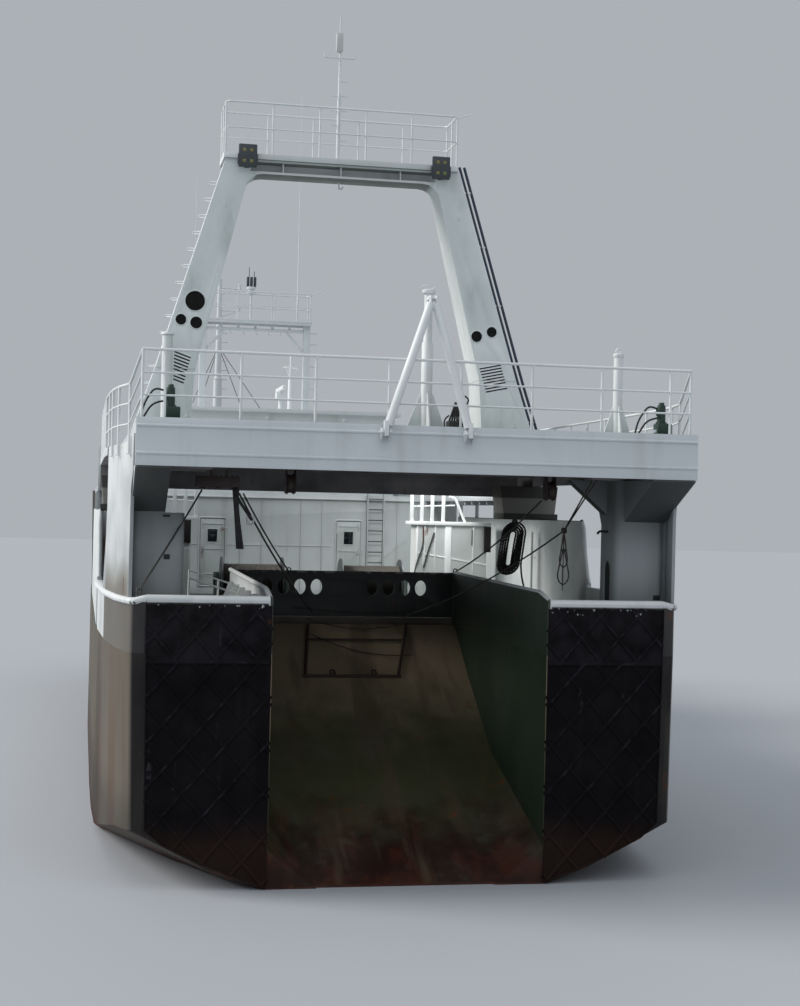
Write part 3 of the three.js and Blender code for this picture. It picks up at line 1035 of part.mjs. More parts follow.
// Foremast on the forecastle, with its arms, rungs and the four main stays
const FOREMAST = { x: -740, y: 14200, z1: 14700, arm: 720 };
const foremastStays = [
  [-3200, 11300], [2700, 11300], [-2300, 16200], [1700, 16200],
].map(([x, y]) => bar([FOREMAST.x, FOREMAST.y, 12200], [x, y, UPPER_DECK_Z + 15], 14, 6));
const foremastRungs = Array.from({ length: 16 }, (_, i) => 7600 + i * 340).map((z) => (
  bar([FOREMAST.x, FOREMAST.y, z], [FOREMAST.x + 330, FOREMAST.y, z], 12, 6)));
add('foremast', join([
  frustum(FOREMAST.x, FOREMAST.y, UPPER_DECK_Z, 11000, 170, 150, 10),
  frustum(FOREMAST.x, FOREMAST.y, 10990, FOREMAST.z1, 120, 75, 10),
  ...foremastStays, ...foremastRungs,
  ...[14340, 13520].flatMap((z) => [
    bar([FOREMAST.x, FOREMAST.y, z - 250], [FOREMAST.x + FOREMAST.arm, FOREMAST.y, z], 22, 6),
    block(FOREMAST.x + FOREMAST.arm - 60, FOREMAST.x + FOREMAST.arm + 60, FOREMAST.y - 60, FOREMAST.y + 60,
      z - 20, z + 180),
  ]),
]), 'grey');

add('radar_scanner', join([
  frustum(RADAR.x, RADAR.y, RADAR.z + SEAT_GAP, RADAR.z + 70, 45, 45),
  block(RADAR.x - 70, RADAR.x + 70, RADAR.y - 950, RADAR.y + 950, RADAR.z + 60, RADAR.z + 190),
]), 'white');

// Trawl winches on the working deck, port and starboard
const TRAWL = { x0: 700, x1: 2200, y: -6300, axisZ: WORK_DECK_Z + 700 };
for (const [name, side] of [['port', -1], ['starboard', 1]]) {
  const [a, b] = [side * TRAWL.x0, side * TRAWL.x1].sort((u, v) => u - v);
  add(`${name}_trawl_winch`, join([
    block(a - 150, b + 150, TRAWL.y - 550, TRAWL.y + 550, WORK_DECK_Z, WORK_DECK_Z + 90),
    ...[a - 140, b + 40].map((x) => draw('x', [
      [TRAWL.y - 420, WORK_DECK_Z + 80], [TRAWL.y + 420, WORK_DECK_Z + 80],
      [TRAWL.y + 160, TRAWL.axisZ + 160], [TRAWL.y - 160, TRAWL.axisZ + 160],
    ], x, x + 100)),
  ]), 'green');
  add(`${name}_trawl_drum`, drum(a, b, TRAWL.y, TRAWL.axisZ, 260, 540, 40, 24), 'steel');
}

// Windlass on the forecastle and an anchor in each bow
const WINDLASS = { x: 900, y: 15100, axisZ: UPPER_DECK_Z + 480 };
add('windlass', join([
  block(-WINDLASS.x, WINDLASS.x, WINDLASS.y - 350, WINDLASS.y + 350, UPPER_DECK_Z, UPPER_DECK_Z + 80),
  ...[-450, 350].map((x) => block(x, x + 100, WINDLASS.y - 200, WINDLASS.y + 200, UPPER_DECK_Z + 70,
    WINDLASS.axisZ + 200)),
]), 'green');
add('windlass_barrel', drum(-340, 340, WINDLASS.y, WINDLASS.axisZ, 130, 240, 10), 'steel');

const ANCHOR = { x: 2400, y: 17350, z: 5200, turn: 0.56 };
const anchorShape = join([
  block(-200, 120, -40, 40, -700, 350),
  block(-300, 130, -420, 420, -860, -660),
  ...[-420, 340].map((y) => draw('x', [[y, -700], [y + 80, -700], [y + 40, -150]], -200, 110)),
]).rotateZ(ANCHOR.turn).translate(ANCHOR.x, ANCHOR.y, ANCHOR.z);
add('starboard_anchor', cut(anchorShape, [forecastle().translate(2 * SEAT_GAP, 0, 0)]), 'black');
add('port_anchor', cut(mirrored(anchorShape), [forecastle().translate(-2 * SEAT_GAP, 0, 0)]), 'black');

// Nozzle, propeller and rudder
const nozzleOutline = [
  [PROP.radius + 40, -330], [PROP.radius + 170, -300], [PROP.radius + 190, 250], [PROP.radius + 90, 330],
  [PROP.radius + 40, 200], [PROP.radius + 40, -330],
].map(([r, along]) => new THREE.Vector2(r, along));
const nozzleRing = new THREE.LatheGeometry(nozzleOutline, 28).translate(0, PROP.y, SHAFT_Z);
const nozzleHead = block(-190, 190, PROP.y - 300, PROP.y + 260, SHAFT_Z + PROP.radius + 100, -500);
const nozzleHeel = block(-110, 110, PROP.y - 250, -12700, SHAFT_Z - PROP.radius - 180,
  SHAFT_Z - PROP.radius - 60);
const clearOfHull = loft(hullRings(WORK_DECK_Z)).translate(0, 0, -SEAT_GAP);
const clearOfSkeg = skeg.clone().scale(1.01, 1, 1).translate(0, -SEAT_GAP, 0);
add('nozzle', cut(join([nozzleRing, nozzleHead, nozzleHeel]), [clearOfHull, clearOfSkeg]), 'rust');

// A propeller blade is a thin twisted plate, so it is drawn as a short loft. Columns: radius,
// chord, thickness, pitch angle
const BLADE = [[130, 360, 80, 1.05], [400, 500, 52, 0.75], [690, 500, 32, 0.52], [870, 260, 18, 0.42]];
function blade(turn) {
  const rings = BLADE.map(([r, chord, thick, pitch]) => [[-1, -1], [1, -1], [1, 1], [-1, 1]].map(([u, v]) => {
    const across = (u * chord) / 2;
    const deep = (v * thick) / 2;
    return [across * Math.cos(pitch) - deep * Math.sin(pitch),
      across * Math.sin(pitch) + deep * Math.cos(pitch), r];
  }));
  return loft(rings).rotateY(turn).translate(0, PROP.y, SHAFT_Z);
}
const blades = [0, 1, 2, 3].map((i) => blade((i * Math.PI) / 2 + 0.4));
add('propeller', join([
  ...blades, bar([0, PROP.y - 230, SHAFT_Z], [0, TUBE_END_Y - RUNNING_GAP, SHAFT_Z], PROP.hub, 16),
  bar([0, PROP.y, SHAFT_Z], [0, TUBE_END_Y - SEAT_GAP, SHAFT_Z], 85, 16),
]), 'bronze');
add('rudder', join([
  draw('z', [
    [0, RUDDER.y - 1150], [110, RUDDER.y - 300], [130, RUDDER.y + 100], [70, RUDDER.y + 330],
    [-70, RUDDER.y + 330], [-130, RUDDER.y + 100], [-110, RUDDER.y - 300],
  ], RUDDER.z0, RUDDER.z1),
  frustum(0, RUDDER.y, RUDDER.z1 - 10, RUDDER.z1 + 60 + RUNNING_GAP - SEAT_GAP, RUDDER.stock, RUDDER.stock),
]), 'rust');

// Frame of rusty pipe that lies on the ramp below its head
const rampSlope = (y) => {
  const rows = RAMP_PROFILE.slice(1, 4);
  const next = y < rows[1][0] ? 0 : 1;
  const [y0, z0] = rows[next];
  const [y1, z1] = rows[next + 1];
  return z0 + ((z1 - z0) * (y - y0)) / (y1 - y0);
};
const RAMP_FRAME = { top: [-800, 1290], foot: [-1020, 880], topY: -11700, footY: -13060, radius: 32, lift: 40 };
const framePoint = (side, y) => {
  const along = (y - RAMP_FRAME.topY) / (RAMP_FRAME.footY - RAMP_FRAME.topY);
  const x = RAMP_FRAME.top[side] + (RAMP_FRAME.foot[side] - RAMP_FRAME.top[side]) * along;
  return [x, y, rampSlope(y) + RAMP_FRAME.lift];
};
const frameFoot = [0, 1].map((side) => framePoint(side, RAMP_FRAME.footY));
add('ramp_frame', join([
  bar(framePoint(0, RAMP_FRAME.topY), frameFoot[0], RAMP_FRAME.radius),
  bar(framePoint(1, RAMP_FRAME.topY), frameFoot[1], RAMP_FRAME.radius),
  bar([frameFoot[0][0] - 60, ...frameFoot[0].slice(1)], [frameFoot[1][0] + 60, ...frameFoot[1].slice(1)],
    RAMP_FRAME.radius),
  bar(framePoint(0, -12100), framePoint(1, -12100), 22),
]), 'rust');

// Rope-wound ring hung at the port side opening
const RING_FENDER = { radius: 430, thick: 95, stretch: 1.35, x: -4600, z: 5450 };
const ringFender = new THREE.TorusGeometry(RING_FENDER.radius, RING_FENDER.thick, 8, 20)
  .rotateX(Math.PI / 2).scale(0.75, 1, RING_FENDER.stretch)
  .translate(RING_FENDER.x - 50, PORT_WEB.y - RING_FENDER.thick - SEAT_GAP, RING_FENDER.z);
add('port_ring_fender', ringFender, 'orange');

// Blocks hung under the gantry deck. Columns: name, x, y
const BLOCKS = [['port_trawl_block', -1950, -17300], ['starboard_trawl_block', 2750, -17300]];
for (const [name, x, y] of BLOCKS) {
  const top = GANTRY_DECK_Z - GANTRY_DECK.plating - SEAT_GAP;
  add(name, join([
    bar([x, y, top - 760], [x, y, top], 30, 8),
    bar([x - 70, y, top - 820], [x + 70, y, top - 820], 190, 16),
    block(x - 95, x - 68, y - 90, y + 90, top - 1010, top - 600),
    block(x + 68, x + 95, y - 90, y + 90, top - 1010, top - 600),
  ]), 'black');
}

// Hank of rope hung from the gantry deck's forward girder, to starboard
const HANK = { x: 4440, y: GANTRY_DECK.forwardY - 100, z0: 4810, z1: 6160, half: 400, deep: 110 };
const hankEnds = [[HANK.z1 - HANK.half, 0], [HANK.z0 + HANK.half, Math.PI]];
const hankOutline = hankEnds.flatMap(([z, from]) => Array.from({ length: 9 }, (_, i) => {
  const angle = from + (i / 8) * Math.PI;
  return [HANK.x + HANK.half * Math.cos(angle), z + HANK.half * Math.sin(angle)];
}));
add('starboard_rope_hank', join([
  draw('y', swap(hankOutline), HANK.y - HANK.deep, HANK.y + HANK.deep),
  bar([HANK.x, HANK.y, HANK.z1 - 60], [HANK.x, HANK.y, FORWARD_GIRDER_Z - SEAT_GAP], 40, 8),
]), 'rope');

// Life rafts in canisters on the upper deck
const RAFT = { x: 4400, y: 4600, z: UPPER_DECK_Z + 480, radius: 300 };
addPair('life_raft', join([
  bar([RAFT.x, RAFT.y - 600, RAFT.z], [RAFT.x, RAFT.y + 600, RAFT.z], RAFT.radius, 14),
  ...[-420, 380].map((y) => block(RAFT.x - 260, RAFT.x + 260, RAFT.y + y, RAFT.y + y + 50, UPPER_DECK_Z,
    RAFT.z - 120)),
]), 'white');

export default ship;
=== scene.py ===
import math

import bmesh
import bpy
from mathutils import Matrix, Vector


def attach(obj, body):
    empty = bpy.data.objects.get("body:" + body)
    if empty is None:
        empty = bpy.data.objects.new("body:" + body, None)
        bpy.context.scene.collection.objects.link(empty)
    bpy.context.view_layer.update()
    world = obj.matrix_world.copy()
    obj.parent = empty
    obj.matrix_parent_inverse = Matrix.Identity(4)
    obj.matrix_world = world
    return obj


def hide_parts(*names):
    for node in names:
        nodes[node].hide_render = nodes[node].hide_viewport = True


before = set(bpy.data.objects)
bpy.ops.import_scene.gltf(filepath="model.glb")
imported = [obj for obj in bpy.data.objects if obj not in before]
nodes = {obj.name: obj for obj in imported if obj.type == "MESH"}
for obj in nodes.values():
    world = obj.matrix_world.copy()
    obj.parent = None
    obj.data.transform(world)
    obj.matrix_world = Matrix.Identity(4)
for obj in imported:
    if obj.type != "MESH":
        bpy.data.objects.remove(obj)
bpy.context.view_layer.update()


# Camera: astern and a little to port of the ship's centreline, at the height of the gantry deck's
# underside, turned to starboard and tilted with the horizon.
def placed(name, data):
    """Puts a new object into the scene."""
    thing = bpy.data.objects.new(name, data)
    bpy.context.scene.collection.objects.link(thing)
    return thing


eye = Vector((-5.513, -45.614, 6.3))
heading, rise, tilt = math.radians(11.04), math.radians(0.32), math.radians(1.33)
aim = Vector((math.sin(heading) * math.cos(rise), math.cos(heading) * math.cos(rise), math.sin(rise)))
level = Vector((math.cos(heading), -math.sin(heading), 0))
upward = level.cross(aim)
across = math.cos(tilt) * level + math.sin(tilt) * upward
upright = math.cos(tilt) * upward - math.sin(tilt) * level
camera = placed("camera", bpy.data.cameras.new("camera"))
camera.data.lens = 58.35
camera.data.clip_end = 600
camera.matrix_world = Matrix.Translation(eye) @ Matrix((across, upright, -aim)).transposed().to_4x4()
bpy.context.scene.camera = camera

# Light: an overcast dome, a large soft lamp high to port and ahead, and a broader, weaker one high
# astern, so that the stern is in open shade, and two small fills over and across the working deck. The
# floor is pale and plain, in the plane of the water.
world = bpy.data.worlds.new("overcast")
world.use_nodes = True
dome = world.node_tree.nodes["Background"]
dome.inputs["Color"].default_value = (0.83, 0.88, 0.94, 1)
dome.inputs["Strength"].default_value = 0.5
bpy.context.scene.world = world
bpy.context.scene.view_settings.view_transform = "Standard"
for name, comes_from, energy, spread, colour in (
        ("key_light", (-0.82, 0.22, 0.53), 2.7, 25, (1, 0.97, 0.93)),
        ("high_light", (-0.15, -0.5, 0.85), 0.8, 70, (0.93, 0.97, 1))):
    lamp = placed(name, bpy.data.lights.new(name, "SUN"))
    lamp.data.energy, lamp.data.angle, lamp.data.color = energy, math.radians(spread), colour
    lamp.rotation_euler = Vector(comes_from).to_track_quat("Z", "Y").to_euler()
for name, place, target, energy, size, spread in (
        ("deck_fill", (2.2, -7.4, 9.8), (3.7, -4.6, 5.4), 95, 2, 100),
        ("wall_fill", (-3.4, -10, 5.4), (5, -9.7, 5.3), 10, 1, 50)):
    lamp = placed(name, bpy.data.lights.new(name, "AREA"))
    lamp.data.energy, lamp.data.size, lamp.data.spread = energy, size, math.radians(spread)
    lamp.location = place
    lamp.rotation_euler = (Vector(place) - Vector(target)).to_track_quat("Z", "Y").to_euler()
    lamp.visible_camera = False
ground = bmesh.new()
bmesh.ops.create_grid(ground, x_segments=1, y_segments=1, size=260)
floor = placed("floor", bpy.data.meshes.new("floor"))
ground.to_mesh(floor.data)
ground.free()
floor_paint = bpy.data.materials.new("floor_paint")
floor_paint.use_nodes = True
floor_face = floor_paint.node_tree.nodes["Principled BSDF"]
floor_face.inputs["Base Color"].default_value = (0.40, 0.42, 0.45, 1)
floor_face.inputs["Roughness"].default_value = 0.7
floor.data.materials.append(floor_paint)


# Hull: welded steel plates from the stem to the open ramp astern. The sides are olive grey with
# runs of rust, the bottom is red-brown, the ramp and the working deck are dark green and scraped.
class Shade:
    """What leaves one node of a finish, and can be reckoned with like a number."""

    def __init__(self, finish, socket):
        self.finish, self.socket = finish, socket

    def __abs__(self):
        return self.finish.math("ABSOLUTE", self)

    def __add__(self, other):
        return self.finish.math("ADD", self, other)

    def __sub__(self, other):
        return self.finish.math("SUBTRACT", self, other)

    def __rsub__(self, other):
        return self.finish.math("SUBTRACT", other, self)

    def __mul__(self, other):
        return self.finish.math("MULTIPLY", self, other)

    __radd__, __rmul__ = __add__, __mul__

    def past(self, start, end):
        """0 up to the start, 1 from the end on, and a soft slope between."""
        return self.finish.node("ShaderNodeMapRange", {"interpolation_type": "SMOOTHSTEP"}, {
            "Value": self, "From Min": start, "From Max": end})


def tint(code):
    """A colour in the shader's linear terms, from its usual six digits."""
    parts = [((code >> shift) & 255) / 255 for shift in (16, 8, 0)]
    return tuple(p / 12.92 if p <= 0.04045 else ((p + 0.055) / 1.055) ** 2.4 for p in parts) + (1,)


class Finish:
    """A material while its nodes are laid, and the slot of the part's record that it belongs to."""

    def __init__(self, name, slot, metallic=0):
        self.slot = slot
        self.material = bpy.data.materials.new(name)
        self.material.use_nodes = True
        self.tree = self.material.node_tree
        self.shader = self.tree.nodes["Principled BSDF"]
        self.shader.inputs["Metallic"].default_value = metallic
        self.place = self.node("ShaderNodeTexCoord", output="Object")
        self.x, self.y, self.z = self.parts(self.place)

    def node(self, kind, settings=(), sockets=(), output=0):
        made = self.tree.nodes.new(kind)
        for key, value in dict(settings).items():
            setattr(made, key, value)
        for key, value in dict(sockets).items():
            self.feed(made.inputs[key], value)
        return Shade(self, made.outputs[output])

    def feed(self, socket, value):
        if isinstance(value, Shade):
            self.tree.links.new(value.socket, socket)
        else:
            socket.default_value = tint(value) if socket.type == "RGBA" else value

    def math(self, operation, *terms):
        return self.node("ShaderNodeMath", {"operation": operation}, enumerate(terms))

    def parts(self, vector):
        split = self.node("ShaderNodeSeparateXYZ", (), {0: vector}).socket.node
        return [Shade(self, split.outputs[i]) for i in range(3)]

    def facing(self):
        return self.parts(self.node("ShaderNodeTexCoord", output="Normal"))

    def noise(self, scale, detail=3, stretch=(1, 1, 1)):
        scales = [scale * s for s in stretch]
        spread = self.node("ShaderNodeMapping", (), {"Vector": self.place, "Scale": scales})
        return self.node("ShaderNodeTexNoise", (), {
            "Vector": spread, "Scale": 1, "Detail": detail, "Roughness": 0.55})

    def mix(self, mask, first, second):
        return self.node("ShaderNodeMix", {"data_type": "RGBA"}, {0: mask, 6: first, 7: second}, 2)

    def lay(self, colour, roughness, height=None, depth=0.01):
        self.feed(self.shader.inputs["Base Color"], colour)
        self.feed(self.shader.inputs["Roughness"], roughness)
        if height is not None:
            bump = self.node("ShaderNodeBump", (), {"Height": height, "Strength": 1, "Distance": depth})
            self.feed(self.shader.inputs["Normal"], bump)
        return self


RUST, GRIME = 0x6B3A22, 0x55544C


def weathered(name, slot, colour, dirt, rust, gloss=0.42, metallic=0, shine=0.5):
    """Ship's paint: cloudy dirt, runs down the plate, rust along them, and a brushed, uneven face."""
    finish = Finish(name, slot, metallic)
    finish.shader.inputs["Specular IOR Level"].default_value = shine
    clouds, grain, runs = finish.noise(0.8, 4), finish.noise(22, 2), finish.noise(3.4, 3, (1, 1, 0.07))
    if callable(colour):
        colour = colour(finish)
    soiled = runs.past(0.5, 0.78) * clouds.past(0.35, 0.65) * dirt
    rusty = runs.past(0.57, 0.66) * finish.noise(1.7, 5).past(0.66 - 0.2 * rust, 0.72)
    dulled = finish.mix(clouds.past(0.3, 0.75) * (dirt * 0.5) + soiled, colour, GRIME)
    rusted = finish.mix(rusty * min(1, rust * 4), dulled, RUST)
    uneven = grain * 0.0012 + finish.noise(0.9, 1) * 0.024
    return finish.lay(rusted, gloss + (0.25 * clouds) + rusty * 0.3, uneven, 1)


def side_plates(finish):
    """The two olive greys of the ship's sides, in tall patches."""
    return finish.mix(finish.noise(0.5, 3, (1, 1, 0.2)).past(0.4, 0.65), 0x625C52, 0x4C473F)


def hull_colour(finish):
    nx, _, nz = finish.facing()
    wobble = finish.noise(1.6, 4) - 0.5
    runs = finish.noise(1.1, 4, (1, 1, 0.1)).past(0.5, 0.68) * (1 - finish.z.past(0.5, 4.2) * 0.6)
    side = finish.mix(runs * 0.8, side_plates(finish), 0x5A4436)
    side = finish.mix((1 - (finish.z + wobble * 0.5).past(0.9, 1.9)) * 0.55, side, 0x2A231D)
    wrapped = (1 - finish.y.past(-18.62, -18.5)) * abs(finish.x).past(2.4, 2.5)
    side = finish.mix(wrapped, side, 0x1C191C)
    bottom = finish.mix(finish.noise(2.2, 4).past(0.35, 0.7), 0x4A2820, 0x2C1D19)
    deck = finish.mix(finish.noise(1.3, 5).past(0.5, 0.68), 0x3B4D41, 0x5A4636)
    climb = finish.z + wobble * 1.1
    toe = finish.mix(finish.noise(1.8, 4, (1, 0.4, 1)).past(0.45, 0.62), 0x26130C, 0x3C1C12)
    low_floor = finish.mix(climb.past(0.3, 1.4), toe, 0x43452F)
    floor_colour = finish.mix(climb.past(1.6, 3.6), low_floor, 0xA08F76)
    wear_and_highlight = finish.noise(0.8, 5, (2.4, 0.3, 0.3)).past(0.52, 0.66)
    floor_colour = finish.mix(wear_and_highlight * 0.5, floor_colour, 0x57493A)
    wall = finish.mix(climb.past(0.1, 1.4), 0x2B231B, 0x2B3A2C)
    ramp = finish.mix(abs(nx).past(0.55, 0.75), floor_colour, wall)
    in_ramp = (1 - abs(finish.x).past(2.366, 2.376)) * (1 - finish.y.past(-11.42, -11.41))
    skin = finish.mix((finish.z + wobble * 0.3).past(0.25, 0.5), bottom, side)
    decked = finish.mix(nz.past(0.7, 0.8) * finish.z.past(3.8, 3.85), skin, deck)
    return finish.mix(in_ramp * finish.z.past(0.02, 0.04), decked, ramp)


def eased(mesh, edges, offset):
    """Rounds edges by two small facets."""
    bmesh.ops.bevel(mesh, geom=edges, offset=offset, affect="EDGES", segments=2, profile=0.5, material=-1,
                    clamp_overlap=True)


def sharp(mesh, angle):
    """The edges where two faces meet at more than an angle."""
    return [e for e in mesh.edges if len(e.link_faces) == 2 and e.calc_face_angle() > angle]


def sided(mesh, sign):
    """Turns a mesh over to the other side of the ship if the sign is -1."""
    if sign < 0:
        bmesh.ops.scale(mesh, vec=(-1, 1, 1), verts=mesh.verts)
        bmesh.ops.reverse_faces(mesh, faces=mesh.faces)
    return mesh


CORNER = 0.7


def copied(name, edge=0, sign=1):
    """The clean shape of one of the frame's nodes, with its outer corners eased, laid to starboard."""
    mesh = bmesh.new()
    mesh.from_mesh(nodes[name].data)
    bmesh.ops.remove_doubles(mesh, verts=mesh.verts, dist=2e-5)
    bmesh.ops.dissolve_limit(mesh, angle_limit=math.radians(0.4), verts=mesh.verts, edges=mesh.edges)
    if edge:
        eased(mesh, sharp(mesh, CORNER), edge)
    return sided(mesh, sign)


def built(name, mesh, finish, node="", body="ship", sign=1):
    """Makes the mesh a piece on a body, shaded smooth but for its corners, and hides the node it replaces."""
    sided(mesh, sign)
    for face in mesh.faces:
        face.smooth = True
    for edge in mesh.edges:
        edge.smooth = len(edge.link_faces) == 2 and edge.calc_face_angle(0) < CORNER
    data = bpy.data.meshes.new(name)
    mesh.to_mesh(data)
    mesh.free()
    data.materials.append(finish.material)
    piece = placed(name, data)
    if node:
        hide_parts(node)
    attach(piece, body)
    return piece


hull_paint = weathered("hull_paint", "hull_paint", hull_colour, 0.3, 0.4, 0.5, shine=0.2)
built("hull_plating", copied("hull"), hull_paint, "hull")


# Rope hank: thick black mooring rope of three strands, coiled in two flat layers of long turns and
# hung from the gantry deck's forward girder by a lashing round its top.
def tubes(mesh, radius, corner, runs, steps=3):
    """Adds round bar along runs of points, their corners bent to the given radius."""
    curve = bpy.data.curves.new("run", "CURVE")
    curve.dimensions, curve.bevel_depth, curve.bevel_resolution = "3D", radius, steps
    curve.use_fill_caps = True
    for run in runs:
        run = [Vector(point) for point in run]
        path = run[:1]
        for before, bend, after in zip(run, run[1:], run[2:]):
            back, on = before - bend, after - bend
            reach = min(corner, back.length / 2, on.length / 2)
            start, end = (bend + way.normalized() * reach for way in (back, on))
            for t in ((0, 0.25, 0.5, 0.75, 1) if corner else (0,)):
                path.append(start.lerp(bend, t).lerp(bend.lerp(end, t), t))
        path.append(run[-1])
        spline = curve.splines.new("POLY")
        spline.points.add(len(path) - 1)
        for point, place in zip(spline.points, path):
            point.co = (*place, 1)
    holder = bpy.data.objects.new("run", curve)
    bars = bpy.data.meshes.new_from_object(holder)
    mesh.from_mesh(bars)
    bpy.data.objects.remove(holder)
    bpy.data.curves.remove(curve)
    bpy.data.meshes.remove(bars)
    return mesh


def tube(mesh, radius, corner, *run, steps=3):
    """Adds one round bar."""
    return tubes(mesh, radius, corner, [run], steps)


def circle(middle, u, v, steps):
    """Points round an ellipse with the half axes u and v, from u back to u."""
    turns = [math.tau * i / steps for i in range(steps + 1)]
    return [Vector(middle) + Vector(u) * math.cos(a) + Vector(v) * math.sin(a) for a in turns]


def strands(path, offset, pitch, count=3):
    """Paths of the strands of a laid rope, which turn about the rope's own path once in each pitch."""
    runs = [[] for _ in range(count)]
    side, travelled = Vector((0.3, 0.9, 0.2)), 0.0
    for i, point in enumerate(path):
        before, after = path[max(i - 1, 0)], path[min(i + 1, len(path) - 1)]
        ahead = (after - before).normalized()
        side = (side - ahead * side.dot(ahead)).normalized()
        travelled += (point - before).length
        for k, run in enumerate(runs):
            angle = math.tau * (travelled / pitch + k / count)
            run.append(point + (side * math.cos(angle) + ahead.cross(side) * math.sin(angle)) * offset)
    return runs


HANK = {"x": 4.43, "y": -8.4, "z": 5.5, "straight": 0.68, "outer": 0.3, "pitch": 0.055, "lane": 0.058,
        "lean": 0.15, "rope": 0.05, "turns": 8, "tail": 0.54}


def hank_point(turn):
    """A point of the hank: four turns that close inwards, then four behind them that open again."""
    middle = HANK["turns"] / 2
    layer = min(max((turn - middle) * 2, -0.5), 0.5)
    inwards = middle - abs(turn - middle) + 0.5 * (layer + 0.5)
    half = HANK["outer"] - HANK["pitch"] * inwards
    straight = HANK["straight"]
    arc = math.pi * half
    along = (turn % 1) * 2 * (straight + arc)
    if along < straight:
        place = (half, along - straight / 2)
    elif along < straight + arc:
        angle = (along - straight) / half
        place = (half * math.cos(angle), straight / 2 + half * math.sin(angle))
    elif along < 2 * straight + arc:
        place = (-half, 1.5 * straight + arc - along)
    else:
        angle = math.pi + (along - 2 * straight - arc) / half
        place = (half * math.cos(angle), half * math.sin(angle) - straight / 2)
    x = HANK["x"] + place[0] + place[1] * HANK["lean"]
    return Vector((x, HANK["y"] + HANK["lane"] * layer, HANK["z"] + place[1]))


black_rope = Finish("black_rope", "black_rope")
fibres = black_rope.noise(160, 2, (1, 1, 0.25))
black_rope.lay(black_rope.mix(black_rope.noise(9, 4).past(0.45, 0.75), 0x17181A, 0x3A3B3A),
               0.85 + fibres * 0.1, fibres, 0.004)
rope_path = [hank_point(i / 96) for i in range(HANK["turns"] * 96, 0, -1)]
rope_path += [hank_point(0) + Vector((0.08 * (i / 12) ** 2, 0, -HANK["tail"] * i / 12)) for i in range(13)]
rope = tubes(bmesh.new(), 0.0125, 0, strands(rope_path, 0.0125, 0.24), 2)
hank = built("starboard_hank_rope", rope, black_rope, "starboard_rope_hank")
lashing = bmesh.new()
hank_top = Vector((HANK["x"], HANK["y"], HANK["z"] + HANK["straight"] / 2 + HANK["outer"]))
for shift in (0.06, 0.086, 0.112):
    ring = circle(hank_top + Vector((shift, 0, -0.06)), (0, 0.135, 0), (0, 0, 0.13), 20)
    tube(lashing, 0.013, 0, *ring, steps=2)
for s in (-0.03, 0.03):
    tube(lashing, 0.014, 0.05, hank_top + Vector((0.09 + s, 0, 0.06)), (HANK["x"] + s, HANK["y"], 6.5),
         (HANK["x"], HANK["y"], 6.709))
built("starboard_hank_lashing", lashing, black_rope, "starboard_rope_hank")


# Bulwark: steel plate round each quarter with a round bar along its top. It is white along the
# side, hull-coloured at the corner, and green where it closes the ramp.
def bulwark_colour(finish):
    nx = finish.facing()[0]
    outboard = abs(finish.x)
    outer = outboard.past(2.5, 2.6) * (nx * finish.x).past(0.5, 0.9)
    below = 1 - finish.z.past(4.72, 4.75)
    plated = finish.mix((1 - finish.y.past(-15.65, -15.6)) * outer * below, 0xD5DADB, 0x66615A)
    wrapped = (1 - finish.y.past(-18.62, -18.5)) * outboard.past(2.42, 2.44)
    return finish.mix(1 - outboard.past(2.4, 2.41), finish.mix(wrapped * below, plated, 0x1F1C1F), 0x2B3A2C)


SIDES = (("starboard", 1), ("port", -1))
bulwark_paint = weathered("bulwark_paint", "white_paint", bulwark_colour, 0.3, 0.35)
white_paint = weathered("white_paint", "white_paint", 0xDDE1E2, 0.18, 0.1)
CAP = [(2.41, -18.65, 4.8), (4.44, -18.65, 4.8), (4.65, -18.62, 4.74), (4.73, -18.45, 4.74),
       (4.9, -17.6, 4.74), (5.06, -16, 4.74), (5.16, -13.5, 4.74), (5.16, -12.302, 4.74)]
for side, sign in SIDES:
    built(f"{side}_bulwark_plating", copied(f"{side}_bulwark", 0.006), bulwark_paint, f"{side}_bulwark")
    caps = tube(bmesh.new(), 0.058, 0.06, *CAP, steps=8)
    tube(caps, 0.045, 0.1, (2.41, -18.65, 4.83), (2.41, -18.05, 4.945), (2.41, -11.27, 5.01), steps=6)
    if side == "port":
        tubes(caps, 0.02, 0, [[(3.46, -14, 3.9), (3.46, -14, 5.09), (2.5, -14, 4.79)],
                              [(3.46, -14, 4.94), (2.5, -14, 4.64)], [(2.89, -14, 4.9), (2.89, -14, 3.9)]])
    built(f"{side}_bulwark_cap", caps, white_paint, sign=sign)


# Gate across the ramp's head: one black plate, cut with two rows of four hand holes, with a flat
# bar welded along its top where the paint is worn off.
def gate_colour(finish):
    scraped = finish.z.past(4.975, 4.985) * finish.noise(5, 4).past(0.5, 0.56)
    return finish.mix(scraped, 0x1A1F20, 0x6E7069)


black_paint = weathered("black_paint", "black_paint", 0x191E1F, 0.15, 0.12, 0.5)
gate_paint = weathered("gate_paint", "black_paint", gate_colour, 0.2, 0.2)
built("ramp_gate_plate", copied("ramp_gate", 0.004), gate_paint, "ramp_gate", "ramp_gate")


# Quarter plates: a dark plate on the transom each side of the ramp, with half-round bars welded on
# it in diamonds to carry the fenders' wear.
def joined(mesh, part):
    """Adds a part to the mesh and lets it go."""
    held = bpy.data.meshes.new("part")
    part.to_mesh(held)
    part.free()
    mesh.from_mesh(held)
    bpy.data.meshes.remove(held)
    return mesh


